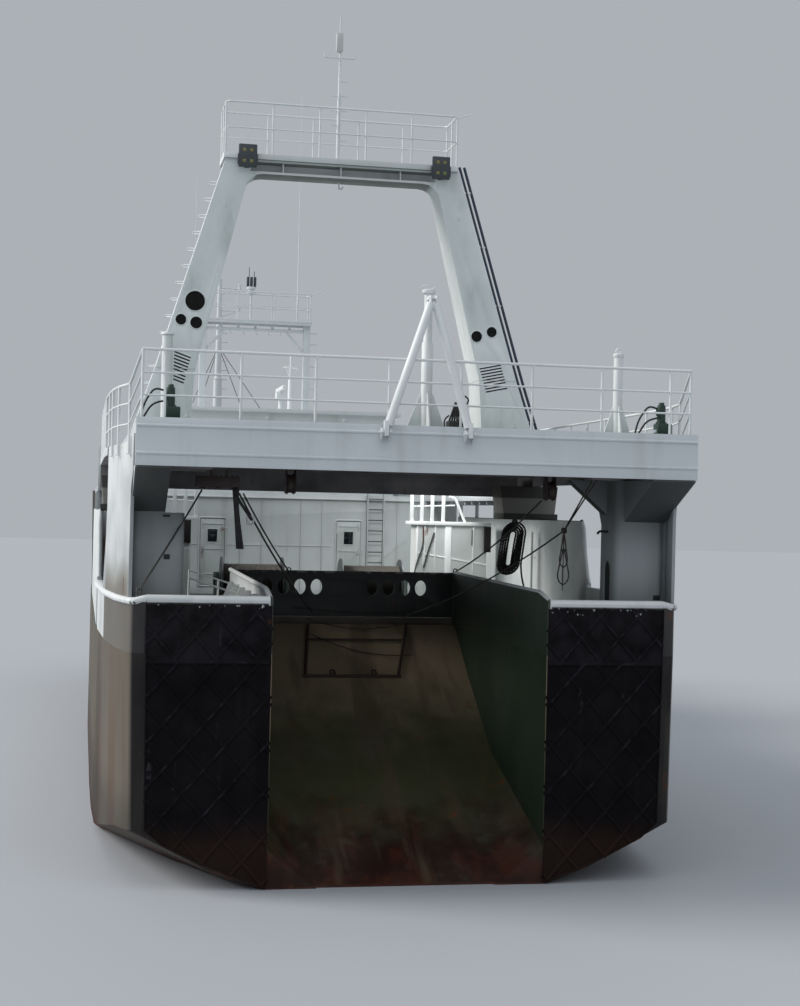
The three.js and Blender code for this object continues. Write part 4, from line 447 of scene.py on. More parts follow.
def slab(mesh, outline, through, edge=0):
    """Adds a plate: a flat outline drawn along a vector, with its corners eased."""
    part = bmesh.new()
    face = part.faces.new([part.verts.new(point) for point in outline])
    raised = bmesh.ops.extrude_face_region(part, geom=[face])["geom"]
    bmesh.ops.translate(part, vec=through, verts=[v for v in raised if isinstance(v, bmesh.types.BMVert)])
    bmesh.ops.recalc_face_normals(part, faces=part.faces)
    if edge:
        eased(part, part.edges, edge)
    return joined(mesh, part)


QUARTER = [(2.375, 0.04), (3, 0.26), (3.5, 0.47), (4.1, 0.77), (4.385, 1.02), (4.435, 4.7), (2.375, 4.7)]
NETS = [(3.63, 4.2, 3.76, 4.7), (3.46, 2.745, 0, 3.76)]
NET_STEP, NET_HALF = 0.76, 0.67


def clipped(start, end, outline):
    """The part of a line in x and z that lies within a convex outline, run anticlockwise."""
    low, high = 0, 1
    for (ax, az), (bx, bz) in zip(outline, outline[1:] + outline[:1]):
        a, b = ((bx - ax) * (p[1] - az) - (bz - az) * (p[0] - ax) for p in (start, end))
        if a < 0 and b < 0:
            return None
        if a < 0:
            low = max(low, a / (a - b))
        elif b < 0:
            high = min(high, a / (a - b))
    if high - low < 0.02:
        return None
    return [tuple(s + (e - s) * t for s, e in zip(start, end)) for t in (low, high)]


def quarter_colour(finish):
    streaks = finish.noise(5, 4, (1, 1, 0.12)).past(0.64, 0.74) * finish.noise(7, 3).past(0.5, 0.62)
    upper = finish.mix(finish.z.past(3.7, 3.8), 0x131115, 0x1E1B20)
    base = finish.mix(finish.noise(2.2, 5).past(0.35, 0.7), upper, 0x0E0D10)
    raised = 1 - finish.y.past(-18.757, -18.75)
    bare = finish.mix(streaks, base, 0x312E34)
    # The raised bars are lighter: partly wear, partly a painted highlight on their tops.
    wear_and_highlight = finish.mix(raised * finish.noise(6, 3).past(0.45, 0.75), bare, 0x27242A)
    foot = 1 - (finish.z + finish.noise(2, 3) * 0.5).past(0.9, 1.5)
    chipped = (finish.noise(15, 3, (1, 1, 0.7)) + finish.z * 0.9 - 4.23).past(0.6, 0.63)
    return finish.mix(chipped, finish.mix(foot, wear_and_highlight, 0x261B18), 0xA9ADAD)


quarter_paint = weathered("quarter_paint", "dark_plate", quarter_colour, 0.06, 0.2, 0.6, shine=0.04)
for side, sign in SIDES:
    plates = slab(bmesh.new(), [(x, -18.7003, z) for x, z in QUARTER], (0, -0.03, 0), 0.004)
    bars = []
    for cross_x, cross_z, low, high in NETS:
        for slope in (-1, 1):
            deep = -18.709 if low == 0 and slope * sign < 0 else -18.715
            for i in range(-8, 7):
                middle, lean = cross_z + i * NET_STEP, slope * NET_STEP / NET_HALF
                run = clipped(*[(x, middle + lean * (x - cross_x)) for x in (2.3, 4.5)], QUARTER)
                run = run and clipped(*run, [(2, low), (5, low), (5, high), (2, high)])
                bars += [[(x, deep, z) for x, z in run]] if run else []
    tubes(plates, 0.044, 0, bars + [[(2.375, -18.715, 3.76), (4.43, -18.715, 3.76)]], 4)
    tube(plates, 0.014, 0, *[(x, -18.735, z) for x, z in QUARTER[:6]], steps=2)
    built(f"{side}_quarter_armour", plates, quarter_paint, f"{side}_quarter_plate", sign=sign)


# Stern pillars: box trunks of welded plate that carry the gantry deck and spread into a haunch under
# its fascia, with an arched opening inboard, and the ship's side plate carried up flush beside them.
def block(mesh, low, high, edge=0.006):
    """Adds a box with eased edges, given by its two corners."""
    part = bmesh.new()
    bmesh.ops.create_cube(part, size=1)
    low, high = Vector(low), Vector(high)
    place = Matrix.Translation((low + high) / 2) @ Matrix.Diagonal((*[abs(d) for d in high - low], 1))
    bmesh.ops.transform(part, matrix=place, verts=part.verts)
    if edge:
        eased(part, part.edges, edge)
    return joined(mesh, part)


def pillar_colour(finish):
    nx, _, nz = finish.facing()
    outer = (nx * finish.x).past(4, 4.4) * (1 - finish.y.past(-15.9, -15.85))
    low = 1 - (finish.z + finish.noise(1.2, 3) * 0.5).past(5, 5.9)
    # The outer side plate is white and every other face a darker grey: painted shade on the faces turned from
    # the light.
    plated = finish.mix(outer, 0x9DA3A5, 0xD3D8D9)
    clouded = finish.mix(finish.noise(0.7, 4).past(0.4, 0.7) * 0.4, plated, 0x858B8D)
    # The trunk's top, under the gantry deck, is painted darker: painted shade under the deck.
    under_deck_shade = finish.z.past(5.5, 6.6) * (1 - abs(finish.x).past(4.66, 4.68))
    shade_darkened = finish.mix(under_deck_shade * 0.75, finish.mix(outer * low, clouded, 0x77736A), 0x3B3E3E)
    # Faces that look down high on the haunch are painted darkest: painted shade under the haunch.
    return finish.mix((1 - nz.past(-0.5, -0.25)) * finish.z.past(5.9, 6) * 0.85, shade_darkened, 0x2F3232)


pillar_paint = weathered("pillar_paint", "white_paint", pillar_colour, 0.3, 0.3)
ARCH = [(y, z) for _, y, z in circle((0, -17.47, 5.33), (0, -0.17, 0), (0, 0, 0.17), 24)[:13]]
ARCH = [(-17.64, 4.06), *ARCH, (-17.3, 4.06)]
for side, sign in SIDES:
    built(f"{side}_pillar_trunk", copied(f"{side}_stern_pillar", 0.01), pillar_paint, f"{side}_stern_pillar")
    # A black plate just inside the arched opening is painted shade, standing for the dark inside the trunk.
    doorway_shade_sheet = slab(bmesh.new(), [(3.83, y, z) for y, z in ARCH], (0.02, 0, 0))
    built(f"{side}_pillar_doorway_shade", doorway_shade_sheet, black_paint, sign=sign)
    fittings = bmesh.new()
    if side == "starboard":
        tube(fittings, 0.022, 0.03, (3.86, -17.5, 6.03), (3.64, -17.5, 6.04), (3.6, -17.5, 5.99))
        block(fittings, (3.846, -17.42, 5.56), (3.82, -17.3, 5.585), 0.002)
        block(fittings, (4.52, -17.97, 4.84), (4.64, -17.94, 4.92), 0.004)
    else:
        block(fittings, (4.17, -17.97, 6.13), (4.05, -17.945, 6.165), 0.004)
        block(fittings, (4.14, -17.97, 5.42), (4.04, -17.945, 5.5), 0.004)
    built(f"{side}_pillar_fittings", fittings, black_paint, sign=sign)


# Gantry deck: plating on beams between two girders, with a deep fascia across the stern that is
# clean white outside, two half-round mouldings along it, and an underside painted dark as shade.
def deck_colour(finish):
    nx, _, nz = finish.facing()
    inboard = finish.y.past(-19.499, -19.49) * (1 - (nx * finish.x).past(3, 4))
    # Faces below the deck's top, except the fascia and the outer sides, take a mottled dark grey: painted shade
    # under the deck.
    under_deck_shade = finish.mix(finish.noise(0.9, 5).past(0.35, 0.7), 0x858285, 0x59565A)
    walk = finish.mix(finish.noise(1.1, 4).past(0.4, 0.65), 0x5F7A6A, 0x4C5F55)
    top = nz.past(0.9, 0.95) * finish.z.past(7.7, 7.71)
    return finish.mix(top, finish.mix((1 - finish.z.past(7.69, 7.7)) * inboard, 0xCBD1D4, under_deck_shade), walk)


DECK = 7.72
deck_paint = weathered("deck_paint", "white_paint", deck_colour, 0.16, 0.1)
deck = copied("gantry_deck", 0.005)
for z in (7.59, 7.15):
    tube(deck, 0.028, 0, (-4.69, -19.5, z), (4.69, -19.5, z), steps=4)
built("gantry_deck_structure", deck, deck_paint, "gantry_deck")
fittings = bmesh.new()
for x in (-3.9, -2.6, -1.35, 1.5, 2.75, 3.95):
    tube(fittings, 0.03, 0, (x, -19.42, DECK + 0.02), (x, -19.42, DECK + 0.07))
for x, y in ((-3.2, -15), (-1.1, -16.9), (1.9, -15), (3.3, -13.2), (-2.9, -12.6), (0.4, -13)):
    tube(fittings, 0.14, 0, (x, y, DECK), (x, y, DECK + 0.04), steps=8)
    tube(fittings, 0.05, 0, (x, y, DECK), (x, y, DECK + 0.055), steps=4)
built("gantry_deck_fittings", fittings, deck_paint)


# Rails on the gantry deck: round bar posts welded to the deck, three courses across the stern, and a
# lower rail down each side whose bars climb to the stern rail at the corner.
rails = bmesh.new()
RAIL_X, RAIL_Y, SIDE_FOOT = 4.61, -19.33, 7.35
BESIDE_PLATE = [(4.775, -18.4), (4.932, -17.6), (5.018, -16.74)]
ON_SHELF = [(5.055, -15.88), (5.09, -14.5), (5.09, -8.42)]
for course, low, thick in ((1.09, 0.96, 0.024), (0.72, 0.64, 0.017), (0.36, 0.30, 0.017)):
    tube(rails, thick, 0, (-RAIL_X, RAIL_Y, DECK + course), (RAIL_X, RAIL_Y, DECK + course))
    for sign in (1, -1):
        tube(rails, thick, 0.15, (sign * RAIL_X, RAIL_Y, DECK + course),
             *[(sign * x, y, SIDE_FOOT + low) for x, y in BESIDE_PLATE + ON_SHELF])
for x in (-RAIL_X, *[-4.25 + 8.5 * i / 7 for i in range(8)], RAIL_X):
    tube(rails, 0.022, 0, (x, RAIL_Y, DECK), (x, RAIL_Y, DECK + 1.09))
posts = [(x, y, 7.15) for x, y in BESIDE_PLATE] + [(x, y, SIDE_FOOT) for x, y in ON_SHELF[:2]]
posts += [(5.09, -14.5 + 6.08 * i / 5, SIDE_FOOT) for i in range(1, 6)]
for sign in (1, -1):
    for x, y, foot in posts:
        tube(rails, 0.022, 0, (sign * x, y, foot), (sign * x, y, SIDE_FOOT + 0.96))
        block(rails, (sign * x - 0.04, y - 0.04, foot), (sign * x + 0.04, y + 0.04, foot + 0.012), 0.003)
built("gantry_deck_railing", rails, white_paint, "gantry_deck_rail")


# A-frame: two steel tubes on pins at the fascia, brought together at the head in two lugs that stand
# in front of the centre post. It folds aft over the ramp.
a_frame = bmesh.new()
FOOT = [(-19.71, 7.53), (-19.59, 7.53), (-19.575, 7.78), (-19.695, 7.78)]
for sign in (1, -1):
    lug, pin = 0.1 + sign * 0.05, sign * 0.7
    tube(a_frame, 0.07, 0, (sign * 0.67, -19.63, 7.70), (0.1 + sign * 0.045, RAIL_Y, 9.75), steps=8)
    block(a_frame, (lug - 0.014, -19.39, 9.67), (lug + 0.014, -19.27, 9.88))
    slab(a_frame, [(pin - 0.038, y, z) for y, z in FOOT], (0.076, 0, 0), 0.006)
    tube(a_frame, 0.045, 0, (pin - 0.045, -19.65, 7.59), (pin + 0.045, -19.65, 7.59))
tube(a_frame, 0.018, 0, (0.02, RAIL_Y, 9.84), (0.18, RAIL_Y, 9.84))
built("a_frame_tubes", a_frame, white_paint, "a_frame", "a_frame")


# Posts behind the stern rail: the tall centre post that steps down to a thinner tube under its
# capped head, and the lead post to starboard with a lifting eye. Both stand on gusset plates.
def turned(mesh, profile, foot=(0, 0, 0), axis="Z", steps=28):
    """Adds a solid of revolution: pairs of radius and height, spun about an axis through the foot."""
    part = bmesh.new()
    line = [part.verts.new((radius, 0, height)) for radius, height in profile]
    edges = [part.edges.new(pair) for pair in zip(line, line[1:])]
    bmesh.ops.spin(part, geom=line + edges, cent=(0, 0, 0), axis=(0, 0, 1), angle=math.tau, steps=steps,
                   use_merge=True)
    bmesh.ops.remove_doubles(part, verts=part.verts, dist=1e-5)
    bmesh.ops.recalc_face_normals(part, faces=part.faces)
    angle, about = {"Z": (0, "Z"), "X": (math.pi / 2, "Y"), "Y": (-math.pi / 2, "X")}[axis]
    laid = Matrix.Translation(foot) @ Matrix.Rotation(angle, 4, about)
    bmesh.ops.transform(part, matrix=laid, verts=part.verts)
    return joined(mesh, part)


def post(profile, x, y, reach, height):
    """A turned post whose foot stands in two crossed plates that taper from the deck up to the post."""
    mesh = turned(bmesh.new(), profile, (x, y, 0))
    outline = [(-reach, 0), (reach, 0), (reach * 0.35, height), (-reach * 0.35, height)]
    slab(mesh, [(x + u, y - 0.012, DECK + v) for u, v in outline], (0, 0.024, 0), 0.004)
    slab(mesh, [(x - 0.012, y + u, DECK + v) for u, v in outline], (0.024, 0, 0), 0.004)
    return mesh


centre = post([(0, 7.72), (0.12, 7.72), (0.12, 7.735), (0.095, 7.74), (0.095, 9.12), (0.072, 9.16),
               (0.07, 9.95), (0.104, 9.955), (0.11, 9.965), (0.11, 10.01), (0.1, 10.02), (0, 10.02)],
              0.085, -19, 0.32, 0.56)
block(centre, (0.045, -19.2697, 9.83), (0.19, -19, 9.89))
tubes(centre, 0.009, 0.02, [[(0.02, -19.05, 10), (-0.05, -19.05, 10.06), (0.06, -19.05, 10.1)],
                            [(0.11, -18.96, 10.02), (0.2, -18.98, 10.07)]])
built("centre_post_tube", centre, white_paint, "centre_post")
lead = post([(0, 7.72), (0.08, 7.72), (0.08, 9.05), (0.09, 9.05), (0.095, 9.06), (0.095, 9.1),
             (0.085, 9.11), (0, 9.11)], 3.49, -18.8, 0.24, 0.48)
tube(lead, 0.014, 0, *circle((3.49, -18.8, 9.15), (0.045, 0, 0), (0, 0, 0.045), 20), steps=2)
built("starboard_lead_post_tube", lead, white_paint, "starboard_lead_post")


# Stern gantry: two tapered box legs of welded plate, joined by a channel crossbeam with a catwalk
# over it. The engines' exhausts come out of the legs' aft faces, above louvres for the air.
def leg_at(height):
    """Outer half breadth and width of a leg at a height."""
    rows = [(7.72, 4.56, 1.28), (9.3, 4.03, 0.86), (13.94, 2.61, 0.6)]
    low, high = rows[:2] if height < 9.3 else rows[1:]
    t = (height - low[0]) / (high[0] - low[0])
    return [a + (b - a) * t for a, b in zip(low[1:], high[1:])]


def gantry_colour(finish):
    nz = finish.facing()[2]
    clean = finish.mix(finish.noise(1.4, 4, (1, 1, 0.4)).past(0.5, 0.8), 0xE6EBEC, 0xC9CECE)
    # Faces that look down are painted darker grey, and the crossbeam above 13.57 m a little darker: painted
    # shade beneath them and in the beam's channel.
    under = 1 - nz.past(-0.95, -0.7)
    beam = finish.z.past(13.57, 13.6) * (1 - abs(finish.x).past(2, 2.05))
    shaded_underside = finish.mix(under * 0.7 + beam * 0.3, clean, 0x80827F)
    return finish.mix((1 - abs(finish.z - 9.3).past(0, 0.02)) * 0.35, shaded_underside, 0x8E9290)


LEG_AFT = -10.05
gantry_paint = weathered("gantry_paint", "white_paint", gantry_colour, 0.15, 0.1)
built("stern_gantry_legs", copied("stern_gantry", 0.008), gantry_paint, "stern_gantry")
# Near-black for the exhaust mouths, partly soot and partly painted shade inside them, and for the louvre
# openings, where it is painted shade.
soot_and_shade_black = Finish("soot_and_shade_black", "black_paint")
soot_and_shade_black.lay(soot_and_shade_black.mix(soot_and_shade_black.noise(12, 4).past(0.4, 0.7), 0x050505, 0x141311), 0.95)
MOUTH_RIM = [(0.001, 0), (0.001, -0.012), (0.014, -0.012), (0.018, 0), (0.001, 0)]
mouths, rims = bmesh.new(), bmesh.new()
for x, z, r in ((-3.204, 10.78, 0.215), (-3.5, 10.365, 0.117), (-3.169, 10.31, 0.13), (3.09, 10.276, 0.125),
                (3.434, 10.39, 0.117)):
    mouth = [(0, 0.012), (r - 0.004, 0.012), (r - 0.004, 0.075), (0, 0.075)]
    turned(mouths, mouth, (x, LEG_AFT, z), "Y", 32)
    turned(rims, [(r + wider, y) for wider, y in MOUTH_RIM], (x, LEG_AFT, z), "Y", 32)
built("gantry_exhaust_mouths", mouths, soot_and_shade_black)
built("gantry_exhaust_rims", rims, gantry_paint)
# The black plates behind the slats are painted shade in the louvres' openings.
louvre_shade_sheets, slats = bmesh.new(), bmesh.new()
for x0, z0, x1, z1, half0, half1, lean in [(-3.45, 9.604, -3.52, 9.03, 0.19, 0.12, 0.33),
                                           (3.418, 9.607, 3.578, 9.095, 0.25, 0.25, -0.21)]:
    lie, rise = Vector((math.cos(lean), 0, -math.sin(lean))), Vector((math.sin(lean), 0, math.cos(lean)))
    for i in range(9):
        x, z, half = (a + (b - a) * i / 8 for a, b in ((x0, x1), (z0, z1), (half0, half1)))
        middle = Vector((x, -10.045, z))
        slab(louvre_shade_sheets, [middle + lie * u * (half - 0.002) + rise * v * 0.016
                       for u, v in ((-1, -1), (1, -1), (1, 1), (-1, 1))], (0, 0.05, 0))
        slab(slats, [middle + lie * u * half + rise * v + Vector((0, -0.005 - w, 0))
                     for u, v, w in ((-1, 0.019, 0), (1, 0.019, 0), (1, 0.012, 0.016), (-1, 0.012, 0.016))],
             rise * 0.004)
built("gantry_louvre_slot_shade", louvre_shade_sheets, soot_and_shade_black)
built("gantry_louvre_slats", slats, gantry_paint)


# Welded trim of the gantry: seams between its plates, ears for the lashings, and the hook for the
# net under the middle of the crossbeam.
trim = bmesh.new()
for sign in (1, -1):
    outer, width = leg_at(9.3)
    inner, outer = sign * (outer - width), sign * outer
    tube(trim, 0.006, 0, *[(x, y, 9.3) for x, y in (
        (inner, LEG_AFT), (outer, LEG_AFT), (outer, -9.05), (inner, -9.05), (inner, LEG_AFT))], steps=1)
    for z in (8, 12.9):
        outer, width = leg_at(z)
        x = sign * (outer - width / 2)
        block(trim, (x - 0.006, -10.09, z - 0.05), (x + 0.006, LEG_AFT, z + 0.05), 0.002)
tube(trim, 0.016, 0.03, (-0.06, -9.67, 13.62), (-0.06, -9.67, 13.51), (-0.02, -9.67, 13.46),
     (0.03, -9.67, 13.49), (0.03, -9.67, 13.53))
built("gantry_trim", trim, gantry_paint)


# Pipes up the starboard leg: a pair of dark blue service pipes, held off its edge by flat clips.
blue_paint = weathered("blue_paint", "dark_plate", 0x2B3A4D, 0.15, 0.1)
pipes, clips = bmesh.new(), bmesh.new()
for shift in (0.06, 0.17):
    tube(pipes, 0.031, 0.3, *[(leg_at(z)[0] + shift, -9.93, z) for z in (7.78, 9.3, 14.07)])
for z in (8.4, 9.7, 11, 12.3, 13.5):
    edge = leg_at(z)[0]
    block(clips, (edge + 0.001, -9.955, z - 0.022), (edge + 0.19, -9.905, z + 0.022), 0.004)
built("gantry_pipe_pair", pipes, blue_paint, "gantry_pipes")
built("gantry_pipe_clips", clips, white_paint, "gantry_pipes")


# Catwalk rail: two courses of round bar with bent corners on posts welded to the catwalk's edge, a
# toe bar, and a short arm that leans out over the starboard aft corner.
catwalk = bmesh.new()
WALK, MAST_Y = 14.05, -9.55
x0, x1, y0, y1 = -2.63, 2.53, -10.08, -9.02
for height, thick in ((1.115, 0.022), (0.555, 0.016)):
    tube(catwalk, thick, 0.14, *[(x, y, WALK + height) for x, y in (
        (0, y0), (x1, y0), (x1, y1), (x0, y1), (x0, y0), (0, y0))])
for x in [x0 + (x1 - x0) * i / 5 for i in range(6)]:
    for y in (y0, y1):
        tube(catwalk, 0.02, 0, (x, y, WALK), (x, y, 15.16))
        block(catwalk, (x - 0.035, y - 0.025, WALK), (x + 0.035, y + 0.025, 14.062), 0.002)
for x in (x0, x1):
    tube(catwalk, 0.02, 0, (x, MAST_Y, WALK), (x, MAST_Y, 15.16))
tube(catwalk, 0.012, 0, (x1, y0, 15.125), (x1 + 0.3, y0, 15.235))
built("catwalk_railing", catwalk, white_paint, "gantry_rail")


# Gantry mast: a thin grey tube on the catwalk that steps down to a rod, with a short yard, a boxed
# aerial of pale plastic, stub rungs for climbing and the cables tied down its side.
grey_paint = weathered("grey_paint", "grey_paint", 0xD2D7DA, 0.15, 0.1)
mast = turned(bmesh.new(), [(0, 14.05), (0.06, 14.05), (0.06, 14.07), (0.042, 14.08), (0.036, 15.58),
                            (0.026, 15.62), (0.014, 17.35), (0, 17.35)], (-0.08, MAST_Y, 0))
for z, x0, x1 in ((14.57, -0.08, 0.11), (14.92, -0.27, -0.08), (15.24, -0.27, 0.11), (15.57, -0.27, 0.11),
                  (15.9, -0.08, 0.11)):
    tube(mast, 0.012, 0, (x0, MAST_Y, z), (x1, MAST_Y, z))
tube(mast, 0.014, 0.04, (-0.42, MAST_Y, 16.54), (-0.42, MAST_Y, 16.42), (0.26, MAST_Y, 16.42),
     (0.26, MAST_Y, 16.54))
tube(mast, 0.008, 0, (-0.05, -9.59, WALK), (-0.045, -9.59, 15.5), (-0.06, -9.58, 16.56))
built("gantry_mast_tube", mast, grey_paint, "gantry_mast")
aerial_plastic = weathered("aerial_plastic", "grey_paint", 0xC3C7C6, 0.1, 0, 0.35)
aerial = block(bmesh.new(), (-0.17, -9.61, 16.56), (-0.02, -9.49, 16.98), 0.02)
built("gantry_mast_aerial", aerial, aerial_plastic, "gantry_mast")


# Floodlights under the catwalk's ends: cast housings with cooling ribs on a yoke, and four square
# lamp units in its face.
lamp_glass = Finish("lamp_glass", "white_paint")
lamp_glass.lay(lamp_glass.mix(lamp_glass.noise(60, 2).past(0.4, 0.6), 0x8A8650, 0x6A683C), 0.3)
housing_paint = weathered("housing_paint", "black_paint", 0x3A4045, 0.15, 0.02, 0.4)
for side, sign in SIDES:
    light = block(bmesh.new(), (1.95, -10.25, 13.72), (2.35, -10.16, 14.22), 0.02)
    for z in [13.76 + i * 0.053 for i in range(9)]:
        block(light, (1.97, -10.17, z - 0.006), (2.33, -10.14, z + 0.006), 0.002)
    for x in (1.942, 2.358):
        block(light, (x - 0.008, -10.24, 13.78), (x + 0.008, -10.15, 14), 0.003)
    block(light, (2.11, -10.16, 13.73), (2.21, -10.0503, 13.86), 0.006)
    built(f"{side}_floodlight_housing", light, housing_paint, f"{side}_floodlight", sign=sign)
    lamps = bmesh.new()
    for x in (2.072, 2.228):
        for z in (13.85, 14.09):
            block(lamps, (x - 0.036, -10.254, z - 0.034), (x + 0.036, -10.24, z + 0.034), 0.003)
    built(f"{side}_floodlight_lamps", lamps, lamp_glass, sign=sign)


# Vent pipe: a plain steel pipe beside the port leg, open at its top inside a welded rim.
vent = turned(bmesh.new(), [(0, 7.72), (0.16, 7.72), (0.16, 7.74), (0.115, 7.742), (0.115, 9.955),
                            (0.13, 9.96), (0.138, 9.968), (0.138, 10.002), (0.132, 10.01), (0.11, 10.01),
                            (0.105, 9.99), (0.105, 9.9), (0, 9.9)], (-3.8, -10.53, 0))
built("port_vent_tube", vent, white_paint, "port_vent_pipe")


# Corner motors: upright hydraulic motors on the gantry deck, each on a square gearbox with black
# hoses looped to its side.
green_paint = weathered("green_paint", "green_paint", 0x1F3A30, 0.15, 0.12, 0.35)
rubber = Finish("rubber", "black_paint")
rubber.lay(rubber.mix(rubber.noise(14, 3).past(0.4, 0.7), 0x121314, 0x2B2C2B), 0.55)
for side, x in (("port", -4.08), ("starboard", 4.48)):
    motor = block(bmesh.new(), (x - 0.2, -18.55, DECK), (x + 0.15, -18.15, 7.75), 0.004)
    block(motor, (x - 0.13, -18.48, 7.75), (x + 0.13, -18.22, 7.96), 0.018)
    turned(motor, [(0, 7.95), (0.1, 7.95), (0.1, 7.975), (0.075, 7.98), (0.075, 8.24), (0.07, 8.28),
                   (0.05, 8.285), (0.05, 8.32), (0.044, 8.33), (0, 8.33)], (x - 0.03, -18.35, 0))
    for u, v, _ in circle((x - 0.03, -18.35, 0), (0.088, 0, 0), (0, 0.088, 0), 6)[:6]:
        tube(motor, 0.009, 0, (u, v, 7.97), (u, v, 7.99), steps=1)
    tube(motor, 0.018, 0.02, (x - 0.08, -18.4, 8.1), (x - 0.13, -18.4, 8.1), (x - 0.13, -18.4, 8.22))
    built(f"{side}_motor_body", motor, green_paint, f"{side}_corner_motor")
    hoses = tube(bmesh.new(), 0.017, 0.14, (x - 0.1, -18.42, 8.06), (x - 0.34, -18.46, 8),
                 (x - 0.48, -18.42, 7.75))
    tube(hoses, 0.017, 0.14, (x - 0.13, -18.4, 8.22), (x - 0.3, -18.44, 8.26), (x - 0.46, -18.38, 8.02),
         (x - 0.52, -18.36, 7.735))
    built(f"{side}_motor_hoses", hoses, rubber)


# Valve chest on the gantry deck beside the centre post: a black steel block with its rubber hoses
# gathered above it.
chest = block(bmesh.new(), (0.9, -17.15, DECK), (1.17, -16.85, 7.96), 0.02)
block(chest, (0.94, -17.17, 7.78), (1.06, -17.14, 7.9), 0.006)
for i in range(5):
    tube(chest, 0.018, 0.08, (0.93 + 0.05 * i, -17, 7.94), (0.99 + 0.03 * i, -17, 8.12), (1.05, -16.98, 8.3))
tube(chest, 0.015, 0.08, (0.86, -17, 7.735), (0.84, -17, 7.98), (0.93, -17, 8.06))
tube(chest, 0.015, 0.08, (1.1, -16.98, 7.95), (1.3, -16.98, 8.36), (1.22, -16.98, 8.42))
built("valve_chest", chest, rubber)


# Side walls: plating from the quarter openings forward to the deckhouse, with a curved aft edge that
# is stiffened by a round bar, and the box brackets on base plates that carry the gantry's legs.
def wall_colour(finish):
    nx = finish.facing()[0]
    shaded = finish.mix(finish.noise(0.6, 4).past(0.4, 0.7), 0xC6CCCD, 0xB2B9BB)
    plated = finish.mix((nx * finish.x).past(3, 4), shaded, 0xD5DADB)
    inboard = 1 - abs(finish.x).past(5.13, 5.14)
    # Above 6.33 m the inboard faces are painted darker, and near black above 6.66 m: painted shade under the
    # gangway and the gantry deck.
    shade_darkened = finish.mix(finish.z.past(6.33, 6.335) * inboard, plated, 0x7B7A74)
    shade_darkened = finish.mix(finish.z.past(6.66, 6.7) * inboard, shade_darkened, 0x35332F)
    base_plate = finish.z.past(6.185, 6.19) * (1 - finish.z.past(6.33, 6.335))
    return finish.mix(base_plate * inboard, shade_darkened, 0x23291F)


wall_paint = weathered("wall_paint", "white_paint", wall_colour, 0.3, 0.3)
AFT_EDGE = [(-12.2997, 4.85), (-12.17, 5.02), (-11.97, 5.5), (-11.83, 6.05), (-11.68, 6.2)]
for side, sign in SIDES:
    wall = copied(f"{side}_side_wall", 0.006, sign)
    tube(wall, 0.045, 0.1, *[(5.13, y, z) for y, z in AFT_EDGE])
    tube(wall, 0.022, 0, (5.05, -8, 3.95), (5.05, -8, 5.9))
    for y, z in ((-8.3, 5.3), (-10.6, 5.5), (-11.2, 5.35), (-7.1, 5.1)):
        block(wall, (5.06, y, z), (5.085, y + 0.4, z + 0.012), 0)
    built(f"{side}_wall_plating", wall, wall_paint, f"{side}_side_wall", sign=sign)


# Gangways: grey plated walks from the gantry deck forward along each side, on posts that stand on
# the side walls, with a rail outboard.
def gangway_colour(finish):
    nz = finish.facing()[2]
    top = nz.past(0.8, 0.9) * (1 - finish.z.past(6.76, 6.77))
    # Faces that look down are painted near black: painted shade under the walk.
    return finish.mix(top, finish.mix(1 - nz.past(-0.9, -0.7), 0xA7AEB1, 0x3E403E), 0x53695E)


gangway_paint = weathered("gangway_paint", "grey_paint", gangway_colour, 0.25, 0.2)
for side, sign in SIDES:
    gangway = block(bmesh.new(), (4.1, -8.2997, 6.62), (5.16, -0.06, 6.75))
    block(gangway, (4.1, -8.2997, 6.73), (5.16, -8.2397, 7.2))
    for y in (-8.15, -6.2, -4.2, -2.2, -0.3):
        block(gangway, (5.08, y, 6.2), (5.16, y + 0.08, 6.64), 0.004)
    for y in [-8.0 + 0.78 * i for i in range(11)]:
        block(gangway, (4.12, y, 6.53), (5.14, y + 0.02, 6.63), 0)
    for z, thick in ((7.75, 0.024), (7.41, 0.016), (7.08, 0.016)):
        tube(gangway, thick, 0, (5.08, -8.2, z), (5.08, -0.12, z))
    for y in [-8.2 + 8.08 * i / 6 for i in range(7)]:
        tube(gangway, 0.021, 0, (5.08, y, 6.74), (5.08, y, 7.75))
    built(f"{side}_gangway_walk", gangway, gangway_paint, f"{side}_gangway", sign=sign)


# Deckhouse: a welded steel house across the ship. Its aft bulkhead has two weathertight doors, flat
# stiffeners, a ladder on stand-offs and a drip ledge along the roof's edge.
house_paint = weathered("house_paint", "white_paint", 0xD3D8D8, 0.28, 0.28)
glass = Finish("window_glass", "black_paint")
glass.lay(glass.mix(glass.noise(3, 3).past(0.4, 0.7), 0x11181B, 0x232C30), 0.08)
door_paint = weathered("door_paint", "white_paint", 0xCDD3D2, 0.3, 0.35)
dark_steel = weathered("dark_steel", "black_paint", 0x3A3D3C, 0.2, 0.4)
PORT_RIM = [(0.19, -0.012), (0.235, -0.012), (0.235, 0.03), (0.21, 0.038), (0.19, 0.02), (0.19, -0.012)]
PORT_PANE = [(0, 0), (0.192, 0), (0.192, 0.012), (0, 0.018)]
house, ports = copied("deckhouse", 0.006), bmesh.new()
for sign in (1, -1):
    tube(house, 0.024, 0.06, *[(sign * x, -0.008, z) for x, z in (
        (1.545, 4.12), (2.295, 4.12), (2.295, 6.03), (1.545, 6.03), (1.545, 4.12))])
    for x in (0.55, 1.15, 3.3, 3.9, 4.5):
        block(house, (sign * x, -0.055, 3.95), (sign * x + 0.012, 0, 6.55), 0.002)
    back = 0.018 if sign < 0 else 0
    for y in (1.4, 2.9, 4.4):
        turned(house, PORT_RIM, (sign * 5.05 - back, y, 5.5), "X")
        turned(ports, PORT_PANE, (sign * 5.052 - back, y, 5.5), "X", 24)
